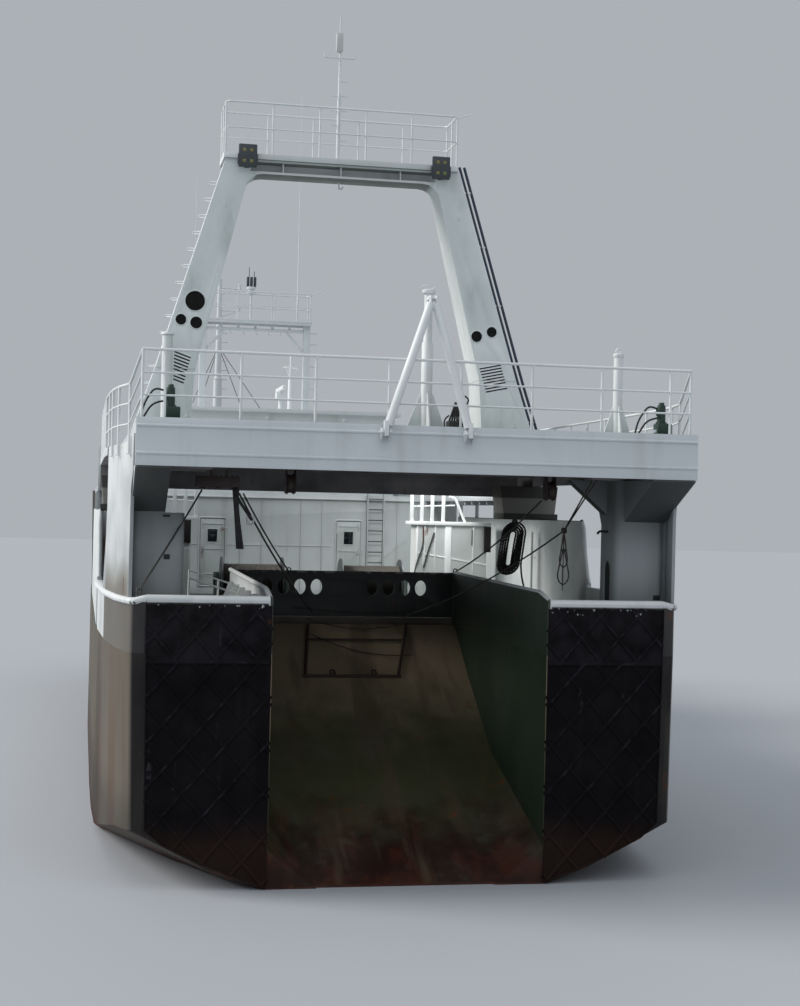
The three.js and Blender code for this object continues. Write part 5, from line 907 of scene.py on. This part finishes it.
block(house, (-4.9, -0.09, 6.6), (4.05, 0, 6.625), 0.004)
block(house, (-4.9, -0.02, 5.28), (1.4, 0, 5.292), 0.002)
built("deckhouse_shell", house, house_paint, "deckhouse")
built("deckhouse_portholes", ports, glass)
for side, sign in SIDES:
    door = copied(f"{side}_aft_door", 0.006, sign)
    tube(door, 0.014, 0.04, *[(1.92 + sign * u * 0.148, -0.018, 5.525 + v * 0.193) for u, v in (
        (-1, -1), (1, -1), (1, 1), (-1, 1), (-1, -1))])
    for z in (4.45, 5.15, 5.85):
        block(door, (1.63, -0.035, z), (2.21, -0.014, z + 0.012), 0.002)
        tube(door, 0.012, 0.02, (2.2, -0.03, z - 0.1), (2.2, -0.055, z - 0.06), (2.2, -0.055, z + 0.08))
    built(f"{side}_aft_door_leaf", door, door_paint, f"{side}_aft_door", f"{side}_aft_door", sign=sign)
    pane = block(bmesh.new(), (1.78, 0.01, 5.34), (2.06, 0.02, 5.71), 0.002)
    built(f"{side}_aft_door_pane", pane, glass, body=f"{side}_aft_door", sign=sign)
ladder = bmesh.new()
for x in (2.43, 2.89):
    tube(ladder, 0.026, 0, (x, -0.17, 3.92), (x, -0.17, 7.49))
for z in [4.25 + 0.3 * i for i in range(11)]:
    tube(ladder, 0.015, 0, (2.43, -0.17, z), (2.89, -0.17, z))
built("deckhouse_ladder", ladder, dark_steel)


# Casings: plated boxes each side of the working deck, under a flat cap that oversails them, with pipe
# posts and a bar on top, cables hung on the aft face, and on each a near-black box standing for a recess's
# shade.
casing_paint = weathered("casing_paint", "white_paint", 0xF0F4F3, 0.12, 0.25)
for side, sign in SIDES:
    casing = copied(f"{side}_casing", 0.008, sign)
    for x, wide, foot in ((2.86, 0.03, 4.4), (3.06, 0.02, 4.4), (3.33, 0.02, 4.4), (3.6, 0.16, 3.95),
                          (4.33, 0.02, 4.4)):
        block(casing, (x, -5.03, foot), (x + wide, -5, 5.99), 0.004)
    slab(casing, [(2.86, -5, 5.27), (4.7, -5, 4.98), (4.7, -5, 5), (2.86, -5, 5.29)], (0, -0.014, 0))
    block(casing, (3.03, -5.014, 4.98), (3.05, -5, 5.3), 0)
    for x in (2.73, 2.99, 3.26, 3.55):
        block(casing, (x - 0.042, -5, 6.08), (x + 0.042, -4.93, 6.9), 0.01)
    tube(casing, 0.02, 0, (2.69, -4.95, 6.45), (3.85, -4.95, 6.5))
    tube(casing, 0.035, 0.08, (4.13, -4.95, 6.08), (3.86, -4.95, 6.68), (3.7, -4.95, 6.72))
    built(f"{side}_casing_box", casing, casing_paint, f"{side}_casing", sign=sign)
cables = tube(bmesh.new(), 0.02, 0.2, (3.02, -5.045, 5.95), (3.04, -5.05, 5.5), (2.84, -5.05, 4.95),
              (2.78, -5.05, 4.4))
tube(cables, 0.02, 0.2, (3.31, -5.045, 5.8), (3.15, -5.045, 5.3), (3.05, -5.045, 4.9))
tube(cables, 0.012, 0.02, (4.3, -5.01, 5.5), (4.3, -5.04, 5.55), (4.3, -5.04, 5.9))
built("casing_cables", cables, dark_steel)
# Two near-black boxes on the aft faces are painted shade, standing for recesses there.
recess_shade_block = block(bmesh.new(), (4.62, -5.09, 5.32), (4.79, -5.005, 5.98), 0.008)
block(recess_shade_block, (-3.02, -5.09, 5.42), (-2.85, -5.005, 5.98), 0.008)
built("casing_recess_shade", recess_shade_block, weathered("recess_shade_black", "rusty_steel", 0x17100F, 0.1, 0.3))


# Fish hatch: a green steel lid on hinges over the coaming in the working deck, stiffened by two bars
# and dogged down along its aft edge.
hatch = copied("fish_hatch_lid", 0.006)
for x in (-0.8, 0, 0.8):
    turned(hatch, [(0, 4.09), (0.05, 4.09), (0.05, 4.11), (0.02, 4.115), (0.02, 4.14), (0, 4.145)],
           (x, -10.22, 0), "Z", 16)
tube(hatch, 0.012, 0.03, (-0.15, -9.6, 4.09), (-0.15, -9.6, 4.14), (0.15, -9.6, 4.14), (0.15, -9.6, 4.09))
built("fish_hatch_cover", hatch, green_paint, "fish_hatch_lid", "fish_hatch_lid")


# Forecastle and bow bulwark: the hull's plating carried up at the bow, olive grey below, and the
# bulwark round it white inside, with stays and a round bar on its edge.
def bow_colour(finish):
    nz = finish.facing()[2]
    return finish.mix(nz.past(0.8, 0.9), side_plates(finish), 0x4C5F55)


bow_paint = weathered("bow_paint", "hull_paint", bow_colour, 0.3, 0.35)
built("forecastle_plating", copied("forecastle", 0.006), bow_paint, "forecastle")
bow = copied("bow_bulwark", 0.006)
BOW = [(4.43, 13.4), (3.46, 16.2), (2.38, 18.13), (0.54, 19.38)]
for sign in (1, -1):
    tube(bow, 0.04, 0.3, *[(sign * x, y, 7.68) for x, y in [*BOW, (0, 19.4)]])
    for (ax, ay), (bx, by) in zip(BOW, BOW[1:]):
        bays = round(math.hypot(bx - ax, by - ay) / 0.9)
        for i in range(1, bays):
            x, y = ax + (bx - ax) * i / bays, ay + (by - ay) * i / bays
            stay = [(x - 0.09, y, 6.75), (x - 0.45, y - 0.2, 6.75), (x - 0.12, y, 7.6)]
            slab(bow, [(sign * u, v, w) for u, v, w in stay], (0, 0.014, 0))
built("bow_bulwark_plating", bow, white_paint, "bow_bulwark")


# Wheelhouse: white, with a band of toughened windows all round in black gaskets, a roof that
# oversails it, doors at the sides, the light mast with its guard ring, and the radar's pedestal.
gaskets, panes = bmesh.new(), bmesh.new()
SILL, HEAD = 7.9, 8.7
windows = [((x, 9.2), (x + 0.9, 9.2), (0, -0.03, 0)) for x in (-2.9, -1.94, -0.98, -0.02, 0.94, 1.9)]
windows += [((x, 2.2), (x + 0.76, 2.2), (0, 0.03, 0)) for x in (-2.6, -0.38, 1.84)]
for x, inward in ((3.6, -0.03), (-3.6, 0.03)):
    windows += [((x, y), (x, y + 0.86), (inward, 0, 0)) for y in (4.3, 5.5, 6.7, 7.9)]
for near, far, inward in windows:
    corners = [Vector((*near, SILL)), Vector((*far, SILL)), Vector((*far, HEAD)), Vector((*near, HEAD))]
    tube(gaskets, 0.018, 0.06, *corners, corners[0], steps=2)
    slab(panes, [corner + Vector(inward) for corner in corners], Vector(inward) * 0.3)
built("wheelhouse_shell", copied("wheelhouse", 0.008), white_paint, "wheelhouse")
built("wheelhouse_gaskets", gaskets, rubber)
built("wheelhouse_panes", panes, glass)
for side, sign in SIDES:
    name = f"{side}_wheelhouse_door"
    door = copied(name, 0.005, sign)
    tube(door, 0.01, 0.02, (3.625, 3.1, 7.8), (3.65, 3.1, 7.8), (3.65, 3.1, 7.95), (3.625, 3.1, 7.95))
    built(f"{name}_leaf", door, door_paint, name, name, sign=sign)
    pane = block(bmesh.new(), (3.588, 3.16, 7.99), (3.6, 3.54, 8.61), 0.002)
    built(f"{name}_pane", pane, glass, body=name, sign=sign)
scanner = turned(bmesh.new(), [(0, 9.9503), (0.045, 9.9503), (0.045, 10), (0.06, 10.01), (0, 10.012)],
                 (0.55, 5.4, 0))
block(scanner, (0.48, 4.45, 10.01), (0.62, 6.35, 10.14), 0.03)
built("radar_scanner_bar", scanner, white_paint, "radar_scanner", "radar_scanner")


# Portal mast on the wheelhouse roof: two square posts, an open truss beam with net hooks below it,
# braces, and a platform with a bent rail that carries the whip and boxed aerials. A second whip
# stands on the roof to port of it.
portal = bmesh.new()
for sign in (1, -1):
    block(portal, (sign * 1.61, 8.29, 9.25), (sign * 1.83, 8.51, 12.5), 0.02)
    block(portal, (sign * 1.52, 8.2, 9.25), (sign * 1.92, 8.6, 9.27), 0.004)
    tube(portal, 0.045, 0, (sign * 1, 8.4, 12.22), (sign * 1.7, 8.4, 11.45))
block(portal, (-1.86, 8.14, 12.49), (1.86, 8.86, 12.55), 0.008)
for y in (8.15, 8.83):
    block(portal, (-1.85, y, 12.41), (1.85, y + 0.02, 12.5), 0.004)
block(portal, (-1.72, 8.34, 12.19), (1.72, 8.46, 12.28), 0.01)
for x in (-1.14, -0.57, 0, 0.57, 1.14):
    block(portal, (x - 0.04, 8.36, 12.27), (x + 0.04, 8.44, 12.5))
for x in (-0.83, -0.4, 0.03, 0.44, 0.83):
    tube(portal, 0.014, 0.03, (x, 8.4, 12.2), (x, 8.4, 12.09), (x + 0.04, 8.4, 12.06), (x + 0.06, 8.4, 12.1))
for z in [9.6 + i * 0.37 for i in range(8)]:
    tube(portal, 0.012, 0.04, (1.82, 8.32, z), (2.06, 8.32, z), (2.06, 8.48, z), (1.82, 8.48, z))
for z, thick in ((13.46, 0.02), (13.005, 0.015)):
    tube(portal, thick, 0.12, *[(x, y, z) for x, y in (
        (0, 8.17), (1.8, 8.17), (1.8, 8.83), (-1.8, 8.83), (-1.8, 8.17), (0, 8.17))])
for x in (-1.8, -0.6, 0.6, 1.8):
    for y in (8.17, 8.83):
        tube(portal, 0.018, 0, (x, y, 12.55), (x, y, 13.46))
tube(portal, 0.013, 0, (1.8, 8.17, 13.4), (2.25, 8.17, 13.67))
turned(portal, [(0, 12.53), (0.03, 12.53), (0.026, 13.45), (0.016, 13.47), (0.008, 20.5), (0, 20.5)],
       (1.4, 8.5, 0), "Z", 14)
turned(portal, [(0, 12.53), (0.034, 12.53), (0.034, 13.44), (0.15, 13.45), (0.15, 13.5), (0.1, 13.51),
                (0.1, 13.58), (0.15, 13.59), (0.15, 13.66), (0, 13.665)], (-0.155, 8.5, 0), "Z", 24)
built("portal_mast_frame", portal, grey_paint, "portal_mast")
boxed = bmesh.new()
for x in (-0.27, -0.155, -0.04):
    block(boxed, (x - 0.04, 8.41, 13.665), (x + 0.04, 8.59, 13.99), 0.012)
for x, z in ((-0.235, 14.31), (-0.065, 14.18)):
    tube(boxed, 0.011, 0, (x, 8.5, 13.9), (x, 8.5, z))
built("portal_mast_aerial", boxed, housing_paint)
whip = turned(bmesh.new(), [(0, 9.2), (0.03, 9.2), (0.03, 9.6), (0.016, 9.65), (0.011, 17.3), (0, 17.3)],
              (-2.03, 8.4, 0), "Z", 14)
built("port_whip_aerial", whip, grey_paint)


# Foremast: a tapered tube on the forecastle in two lengths, with two lamp arms, foot rungs, and four
# wire stays that are set up with rigging screws.
foremast = turned(bmesh.new(), [(0, 6.75), (0.24, 6.75), (0.24, 6.77), (0.17, 6.775), (0.15, 10.98),
                                (0.16, 10.99), (0.16, 11.02), (0.118, 11.03), (0.075, 14.68), (0, 14.7)],
                  (-0.74, 14.2, 0))
for z in (14.34, 13.52):
    tube(foremast, 0.018, 0, (-0.74, 14.2, z), (-0.08, 14.2, z))
    tube(foremast, 0.018, 0, (-0.74, 14.2, z - 0.25), (-0.1, 14.2, z - 0.01))
    turned(foremast, [(0, -0.02), (0.06, -0.015), (0.06, 0.01), (0.045, 0.02), (0.045, 0.13), (0.058, 0.14),
                      (0.03, 0.175), (0, 0.18)], (-0.02, 14.2, z), "Z", 18)
for z in [7.6 + i * 0.34 for i in range(16)]:
    tube(foremast, 0.011, 0.03, (-0.74, 14.16, z), (-0.41, 14.16, z), (-0.41, 14.24, z), (-0.74, 14.24, z))
built("foremast_tube", foremast, grey_paint, "foremast")
stays, head = bmesh.new(), Vector((-0.74, 14.2, 12.2))
for x, y in ((-3.2, 11.3), (2.7, 11.3), (-2.3, 16.2), (1.7, 16.2)):
    foot = Vector((x, y, 6.76))
    along = (head - foot).normalized()
    tube(stays, 0.012, 0, foot, head, steps=1)
    tubes(stays, 0.032, 0, [[foot + along * 2.6, foot + along * 2.95], [foot, foot + along * 0.4]], 2)
built("foremast_stays", stays, dark_steel, "foremast")


# Trawl winches: green welded cheeks on a bedplate, and between them a steel drum full of wire.
def wire_colour(finish):
    return finish.mix(finish.math("SINE", finish.x * 210).past(-0.6, 0.6), 0x2E2A26, 0x6A6661)


def drum(x0, x1, foot, core, flange, shaft, wide=0.03):
    """A drum on a cross shaft: core, two dished flanges with rolled rims, and the shaft's ends."""
    near = [(0, -shaft), (core * 0.35, -shaft), (core * 0.35, -0.002), (flange * 0.9, 0), (flange, 0.004),
            (flange, wide), (flange * 0.9, wide), (core, wide + 0.01)]
    profile = [(r, x0 + out) for r, out in near] + [(r, x1 - out) for r, out in reversed(near)]
    return turned(bmesh.new(), profile, foot, "X", 40)


def hub(mesh, radius, half, foot, steps):
    """Adds a boss with eased rims on a cross shaft."""
    rim = [(0, -half), (radius - 0.01, -half), (radius, 0.01 - half)]
    turned(mesh, rim + [(r, -x) for r, x in reversed(rim)], foot, "X", steps)


drum_steel = weathered("drum_steel", "drum_steel", 0x6E7376, 0.3, 0.3, 0.35, 0.8)
wire_rope = weathered("wire_rope", "drum_steel", wire_colour, 0.3, 0.3, 0.4, 0.6)
SHAFT = (-6.3, 4.6)
for side, near, far in (("starboard", 0.7, 2.2), ("port", -2.2, -0.7)):
    winch = copied(f"{side}_trawl_winch", 0.008)
    for x in (near - 0.14, far + 0.14):
        hub(winch, 0.16, 0.03, (x, *SHAFT), 28)
    block(winch, (near + 0.3, -6.84, 3.99), (near + 0.62, -6.62, 4.2), 0.02)
    built(f"{side}_winch_cheeks", winch, green_paint, f"{side}_trawl_winch")
    body = f"{side}_trawl_drum"
    built(f"{side}_winch_drum", drum(near, far, (0, *SHAFT), 0.2, 0.54, 0.039), drum_steel, body, body)
    turns = [(0, near + 0.045), (0.36, near + 0.045)]
    for i in range(47):
        turns += [(0.375, near + 0.055 + 0.03 * i), (0.36, near + 0.07 + 0.03 * i)]
    wound = turned(bmesh.new(), turns + [(0, far - 0.045)], (0, *SHAFT), "X", 40)
    built(f"{side}_winch_wire", wound, wire_rope, body=body)


# Windlass on the forecastle, with a steel barrel between its cheeks, and an anchor stowed against
# each bow.
windlass = copied("windlass", 0.008)
for x in (-0.4, 0.4):
    hub(windlass, 0.11, 0.06, (x, 15.1, 7.23), 24)
built("windlass_cheeks", windlass, green_paint, "windlass")
barrel = drum(-0.34, 0.34, (0, 15.1, 7.23), 0.13, 0.24, 0.0097)
built("windlass_drum", barrel, drum_steel, "windlass_barrel", "windlass_barrel")
for side, _ in SIDES:
    built(f"{side}_bow_anchor", copied(f"{side}_anchor", 0.012), black_paint, f"{side}_anchor")


# Stern gear under water: a welded nozzle round a cast bronze propeller of four blades, and a plated
# rudder behind it.
rusty_steel = weathered("rusty_steel", "rusty_steel", 0x55392B, 0.3, 0.9, 0.6)
bronze = weathered("bronze", "bronze", 0x9C7B43, 0.3, 0, 0.3, 0.9)
built("nozzle_ring", copied("nozzle", 0.01), rusty_steel, "nozzle")
propeller = copied("propeller")
eased(propeller, sharp(propeller, 0.5), 0.006)
CONE = [(0, 0), (0.06, 0), (0.12, 0.05), (0.165, 0.14), (0.17, 0.2)]
turned(propeller, CONE, (0, -13.98, -2.27), "Y", 24)
built("propeller_casting", propeller, bronze, "propeller", "propeller")
rudder = copied("rudder", 0.012)
for z in (-2.9, -2.2, -1.5):
    for sign in (1, -1):
        tube(rudder, 0.008, 0, (0, -16.09, z), (sign * 0.112, -15.25, z), (sign * 0.131, -14.85, z),
             (sign * 0.07, -14.62, z))
built("rudder_blade", rudder, rusty_steel, "rudder", "rudder")


# Ramp frame: rusty pipe bent and welded into an open frame that lies on the ramp below the gate, with
# slack lines tied across it.
def on_ramp(*places):
    """Points that lie on the ramp, which is steeper forward of its knuckle."""
    points = []
    for x, y in places:
        (ya, za), (yb, zb) = ((-14.9, 1.8), (-13, 2.96)) if y < -13 else ((-13, 2.96), (-11.43, 4.05))
        points.append((x, y, za + (zb - za) * (y - ya) / (yb - ya) + 0.04))
    return points


def sagging(start, end, sag, steps=10):
    """Points of a line that hangs a little slack between its ends."""
    start, end = Vector(start), Vector(end)
    return [start.lerp(end, i / steps) - Vector((0, 0, sag * 4 * (i / steps) * (1 - i / steps)))
            for i in range(steps + 1)]


frame_rust = weathered("frame_rust", "rusty_steel", 0x3B2C26, 0.3, 0.9, 0.6)
ramp_frame = bmesh.new()
for radius, *ends in ((0.031, (-0.8, -11.7), (-1.02, -13.06)), (0.031, (1.29, -11.7), (0.88, -13.06)),
                      (0.03, (-1.08, -13.06), (0.94, -13.06)), (0.022, (-0.86, -12.1), (1.16, -12.1))):
    tube(ramp_frame, radius, 0, *on_ramp(*ends))
for low, high in ((-11.75, -11.85), (-12.15, -12.7)):
    line = sagging(*on_ramp((-0.82, low), (1.24, high)), 0.16, 12)
    tube(ramp_frame, 0.011, 0, *[point + Vector((0, 0, 0.16)) for point in line], steps=2)
for x in (-0.45, 0.4):
    tube(ramp_frame, 0.018, 0.03,
         *on_ramp((x - 0.04, -13.06), (x - 0.04, -12.9), (x + 0.04, -12.9), (x + 0.04, -13.06)))
built("ramp_frame_pipes", ramp_frame, frame_rust, "ramp_frame")


# Ring fender: an oval core served all round with orange rope, now dirty, hung at the port opening.
RING = {"x": -4.65, "y": -11.7553, "z": 5.45, "wide": 0.3225, "tall": 0.5805, "turns": 74}
served, winding = RING["turns"] * 12, []
core = circle((RING["x"], RING["y"], RING["z"]), (RING["wide"], 0, 0), (0, 0, RING["tall"]), served)
for i, middle in enumerate(core):
    angle, roll = math.tau * i / served, math.tau * i / 12
    outward = Vector((math.cos(angle) * RING["tall"], 0, math.sin(angle) * RING["wide"])).normalized()
    reach = outward * (math.cos(roll) * (0.058 + 0.04 * abs(math.sin(angle))))
    winding.append(middle + reach + Vector((0, math.sin(roll) * 0.078, 0)))
rope_orange = weathered("rope_orange", "rope_ring", 0x8C4326, 0.45, 0.2, 0.75)
fender = tube(bmesh.new(), 0.07, 0, *core[::12], steps=4)
tube(fender, 0.0165, 0, *winding, steps=2)
built("port_ring_fender_rope", fender, rope_orange, "port_ring_fender")


# Trawl blocks: dark sheaves between cheek plates, shackled to eyes under the gantry deck.
oxide = weathered("oxide", "black_paint", 0x2C1C1A, 0.2, 0.5, 0.5)
BLOCK_Y, BLOCK_Z = -17.3, 6.7497
CHEEK = [(-0.07, 0.3), (0.07, 0.3), (0.15, 0.1), (0.17, -0.05), (0.1, -0.17), (-0.1, -0.17), (-0.17, -0.05),
         (-0.15, 0.1)]
for name, x in (("port_trawl_block", -1.95), ("starboard_trawl_block", 2.75)):
    hung = turned(bmesh.new(), [(0, -0.06), (0.19, -0.06), (0.16, -0.03), (0.155, 0), (0.16, 0.03),
                                (0.19, 0.06), (0, 0.06)], (x, BLOCK_Y, BLOCK_Z), "X", 32)
    for s in (-1, 1):
        slab(hung, [(x + s * 0.068, BLOCK_Y + u, BLOCK_Z + v) for u, v in CHEEK], (s * 0.02, 0, 0), 0.004)
    tube(hung, 0.04, 0, (x - 0.1, BLOCK_Y, BLOCK_Z), (x + 0.1, BLOCK_Y, BLOCK_Z))
    tube(hung, 0.028, 0, (x, BLOCK_Y, 7.05), (x, BLOCK_Y, 7.5697))
    tube(hung, 0.022, 0.03, *[(x + u, BLOCK_Y, z) for u, z in (
        (-0.085, 7.02), (-0.05, 7.12), (0, 7.15), (0.05, 7.12), (0.085, 7.02))])
    built(f"{name}_sheave", hung, oxide, name)


# Life rafts: white glass-fibre canisters on cradles on the upper deck, in two halves that are
# strapped together round a seam.
raft_shell = weathered("raft_shell", "raft_shell", 0xDDE1E2, 0.1, 0, 0.25)
RAFT_HALF = [(0, 0.6), (0.2, 0.598), (0.27, 0.57), (0.298, 0.52), (0.298, 0.34), (0.29, 0.33), (0.29, 0.27),
             (0.298, 0.26)]
for side, sign in SIDES:
    raft = turned(bmesh.new(), [(r, -y) for r, y in RAFT_HALF] + RAFT_HALF[::-1], (4.4, 4.6, 7.23), "Y", 36)
    for x in (4.102, 4.698):
        block(raft, (x - 0.004, 4.02, 7.22), (x + 0.004, 5.18, 7.24), 0)
    built(f"{side}_raft_canister", raft, raft_shell, f"{side}_life_raft", sign=sign)
    cradle = bmesh.new()
    for y in (4.18, 4.98):
        block(cradle, (4.14, y, 6.75), (4.66, y + 0.05, 6.98))
        tube(cradle, 0.008, 0, *circle((4.4, y + 0.025, 7.23), (sign * 0.305, 0, 0), (0, 0, 0.305), 28), steps=2)
    built(f"{side}_raft_cradle", cradle, grey_paint, f"{side}_life_raft", sign=sign)


# Falls: the wires led from the blocks and from eyes under the deck down to the bulwark and to the
# frame on the ramp, with a knot and slack loops in the starboard one, and shackles at their feet.
def shackle(mesh, place, size=0.045):
    """Adds a bow of bar with its pin, upright about a place."""
    bow = [Vector(place) + Vector((u * size, 0, v * size)) for u, v in
           ((-0.7, -1.2), (-1, 0.4), (-0.6, 1.2), (0.6, 1.2), (1, 0.4), (0.7, -1.2))]
    over = Vector((size * 0.4, 0, 0))
    tube(mesh, size * 0.28, size * 0.5, *bow, steps=2)
    return tube(mesh, size * 0.25, 0, bow[0] - over, bow[-1] + over, steps=2)


KNOT = Vector((3.16, -16.9, 6.03))
falls = bmesh.new()
for start, end, sag, radius in (
        ((3.36, -17.9, 6.949), KNOT, 0, 0.014), ((3.44, -17.9, 6.949), KNOT, 0, 0.014),
        (KNOT, (1.32, -11.72, 4.12), 0.16, 0.016), ((2.6, -17.3, 6.56), (2.41, -11.4, 5.04), 0.1, 0.016),
        ((-3.5, -17.55, 6.6), (-4.56, -18.62, 4.93), 0.03, 0.016),
        ((-2.85, -17.5, 6.55), (-0.72, -11.72, 4.16), 0.12, 0.018),
        ((-2.78, -17.5, 6.55), (-1.2, -11.45, 5), 0.05, 0.016),
        ((-1.1, -11.47, 4.25), (1.3, -11.47, 4.12), 0.05, 0.012)):
    tube(falls, radius, 0, *sagging(start, end, sag), steps=2)
for drop, wide, length in ((0.02, 0.06, 0.4), (0.3, 0.14, 0.72), (0.08, 0.1, 0.62)):
    tube(falls, 0.012, 0.12, *[KNOT + Vector((wide * u, 0.02 * u, -drop - length * v)) for u, v in (
        (0, 0), (-0.5, 0.4), (-0.9, 0.8), (0, 1), (0.9, 0.8), (0.5, 0.4), (0, 0))], steps=2)
tube(falls, 0.01, 0, KNOT, KNOT - Vector((0.01, 0, 1.1)), steps=2)
for rise in (-0.025, 0, 0.025):
    tube(falls, 0.016, 0, *circle(KNOT + Vector((0, 0, rise)), (0.04, 0, 0), (0, 0.03, 0.012), 12), steps=2)
for place in ((-4.56, -18.62, 4.9), (2.41, -11.4, 5.05), (-1.2, -11.45, 5.02), (1.32, -11.72, 4.1)):
    shackle(falls, place)
built("trawl_falls", falls, wire_rope)
bundle = bmesh.new()
for shift in (-0.045, 0, 0.045):
    tube(bundle, 0.024, 0.3, (-2.92 + shift, -17.5, 6.75), (-2.9 + shift * 0.4, -17.5, 6.3),
         (-2.82 + shift, -17.5, 5.6))
tube(bundle, 0.026, 0, (-2.9, -17.5, 6.5), (-2.62, -17.46, 6.1))
built("port_hose_bundle", bundle, rubber)
nest = bmesh.new()
for x in (-3.5, -3.22, -2.94):
    turned(nest, [(0, -0.05), (0.13, -0.05), (0.1, -0.02), (0.1, 0.02), (0.13, 0.05), (0, 0.05)],
           (x, -17.5, 6.74), "X", 28)
for y in (-17.66, -17.36):
    block(nest, (-3.6, y, 6.66), (-2.86, y + 0.02, 6.84), 0.004)
tube(nest, 0.03, 0, (-3.6, -17.5, 6.74), (-2.86, -17.5, 6.74))
for x in (-3.35, -3.08):
    block(nest, (x - 0.02, -17.64, 6.83), (x + 0.02, -17.36, 6.9497), 0.004)
built("port_sheave_nest", nest, oxide)
built("white_shackle", shackle(bmesh.new(), (-2.62, -17.2, 6.1), 0.06), white_paint)
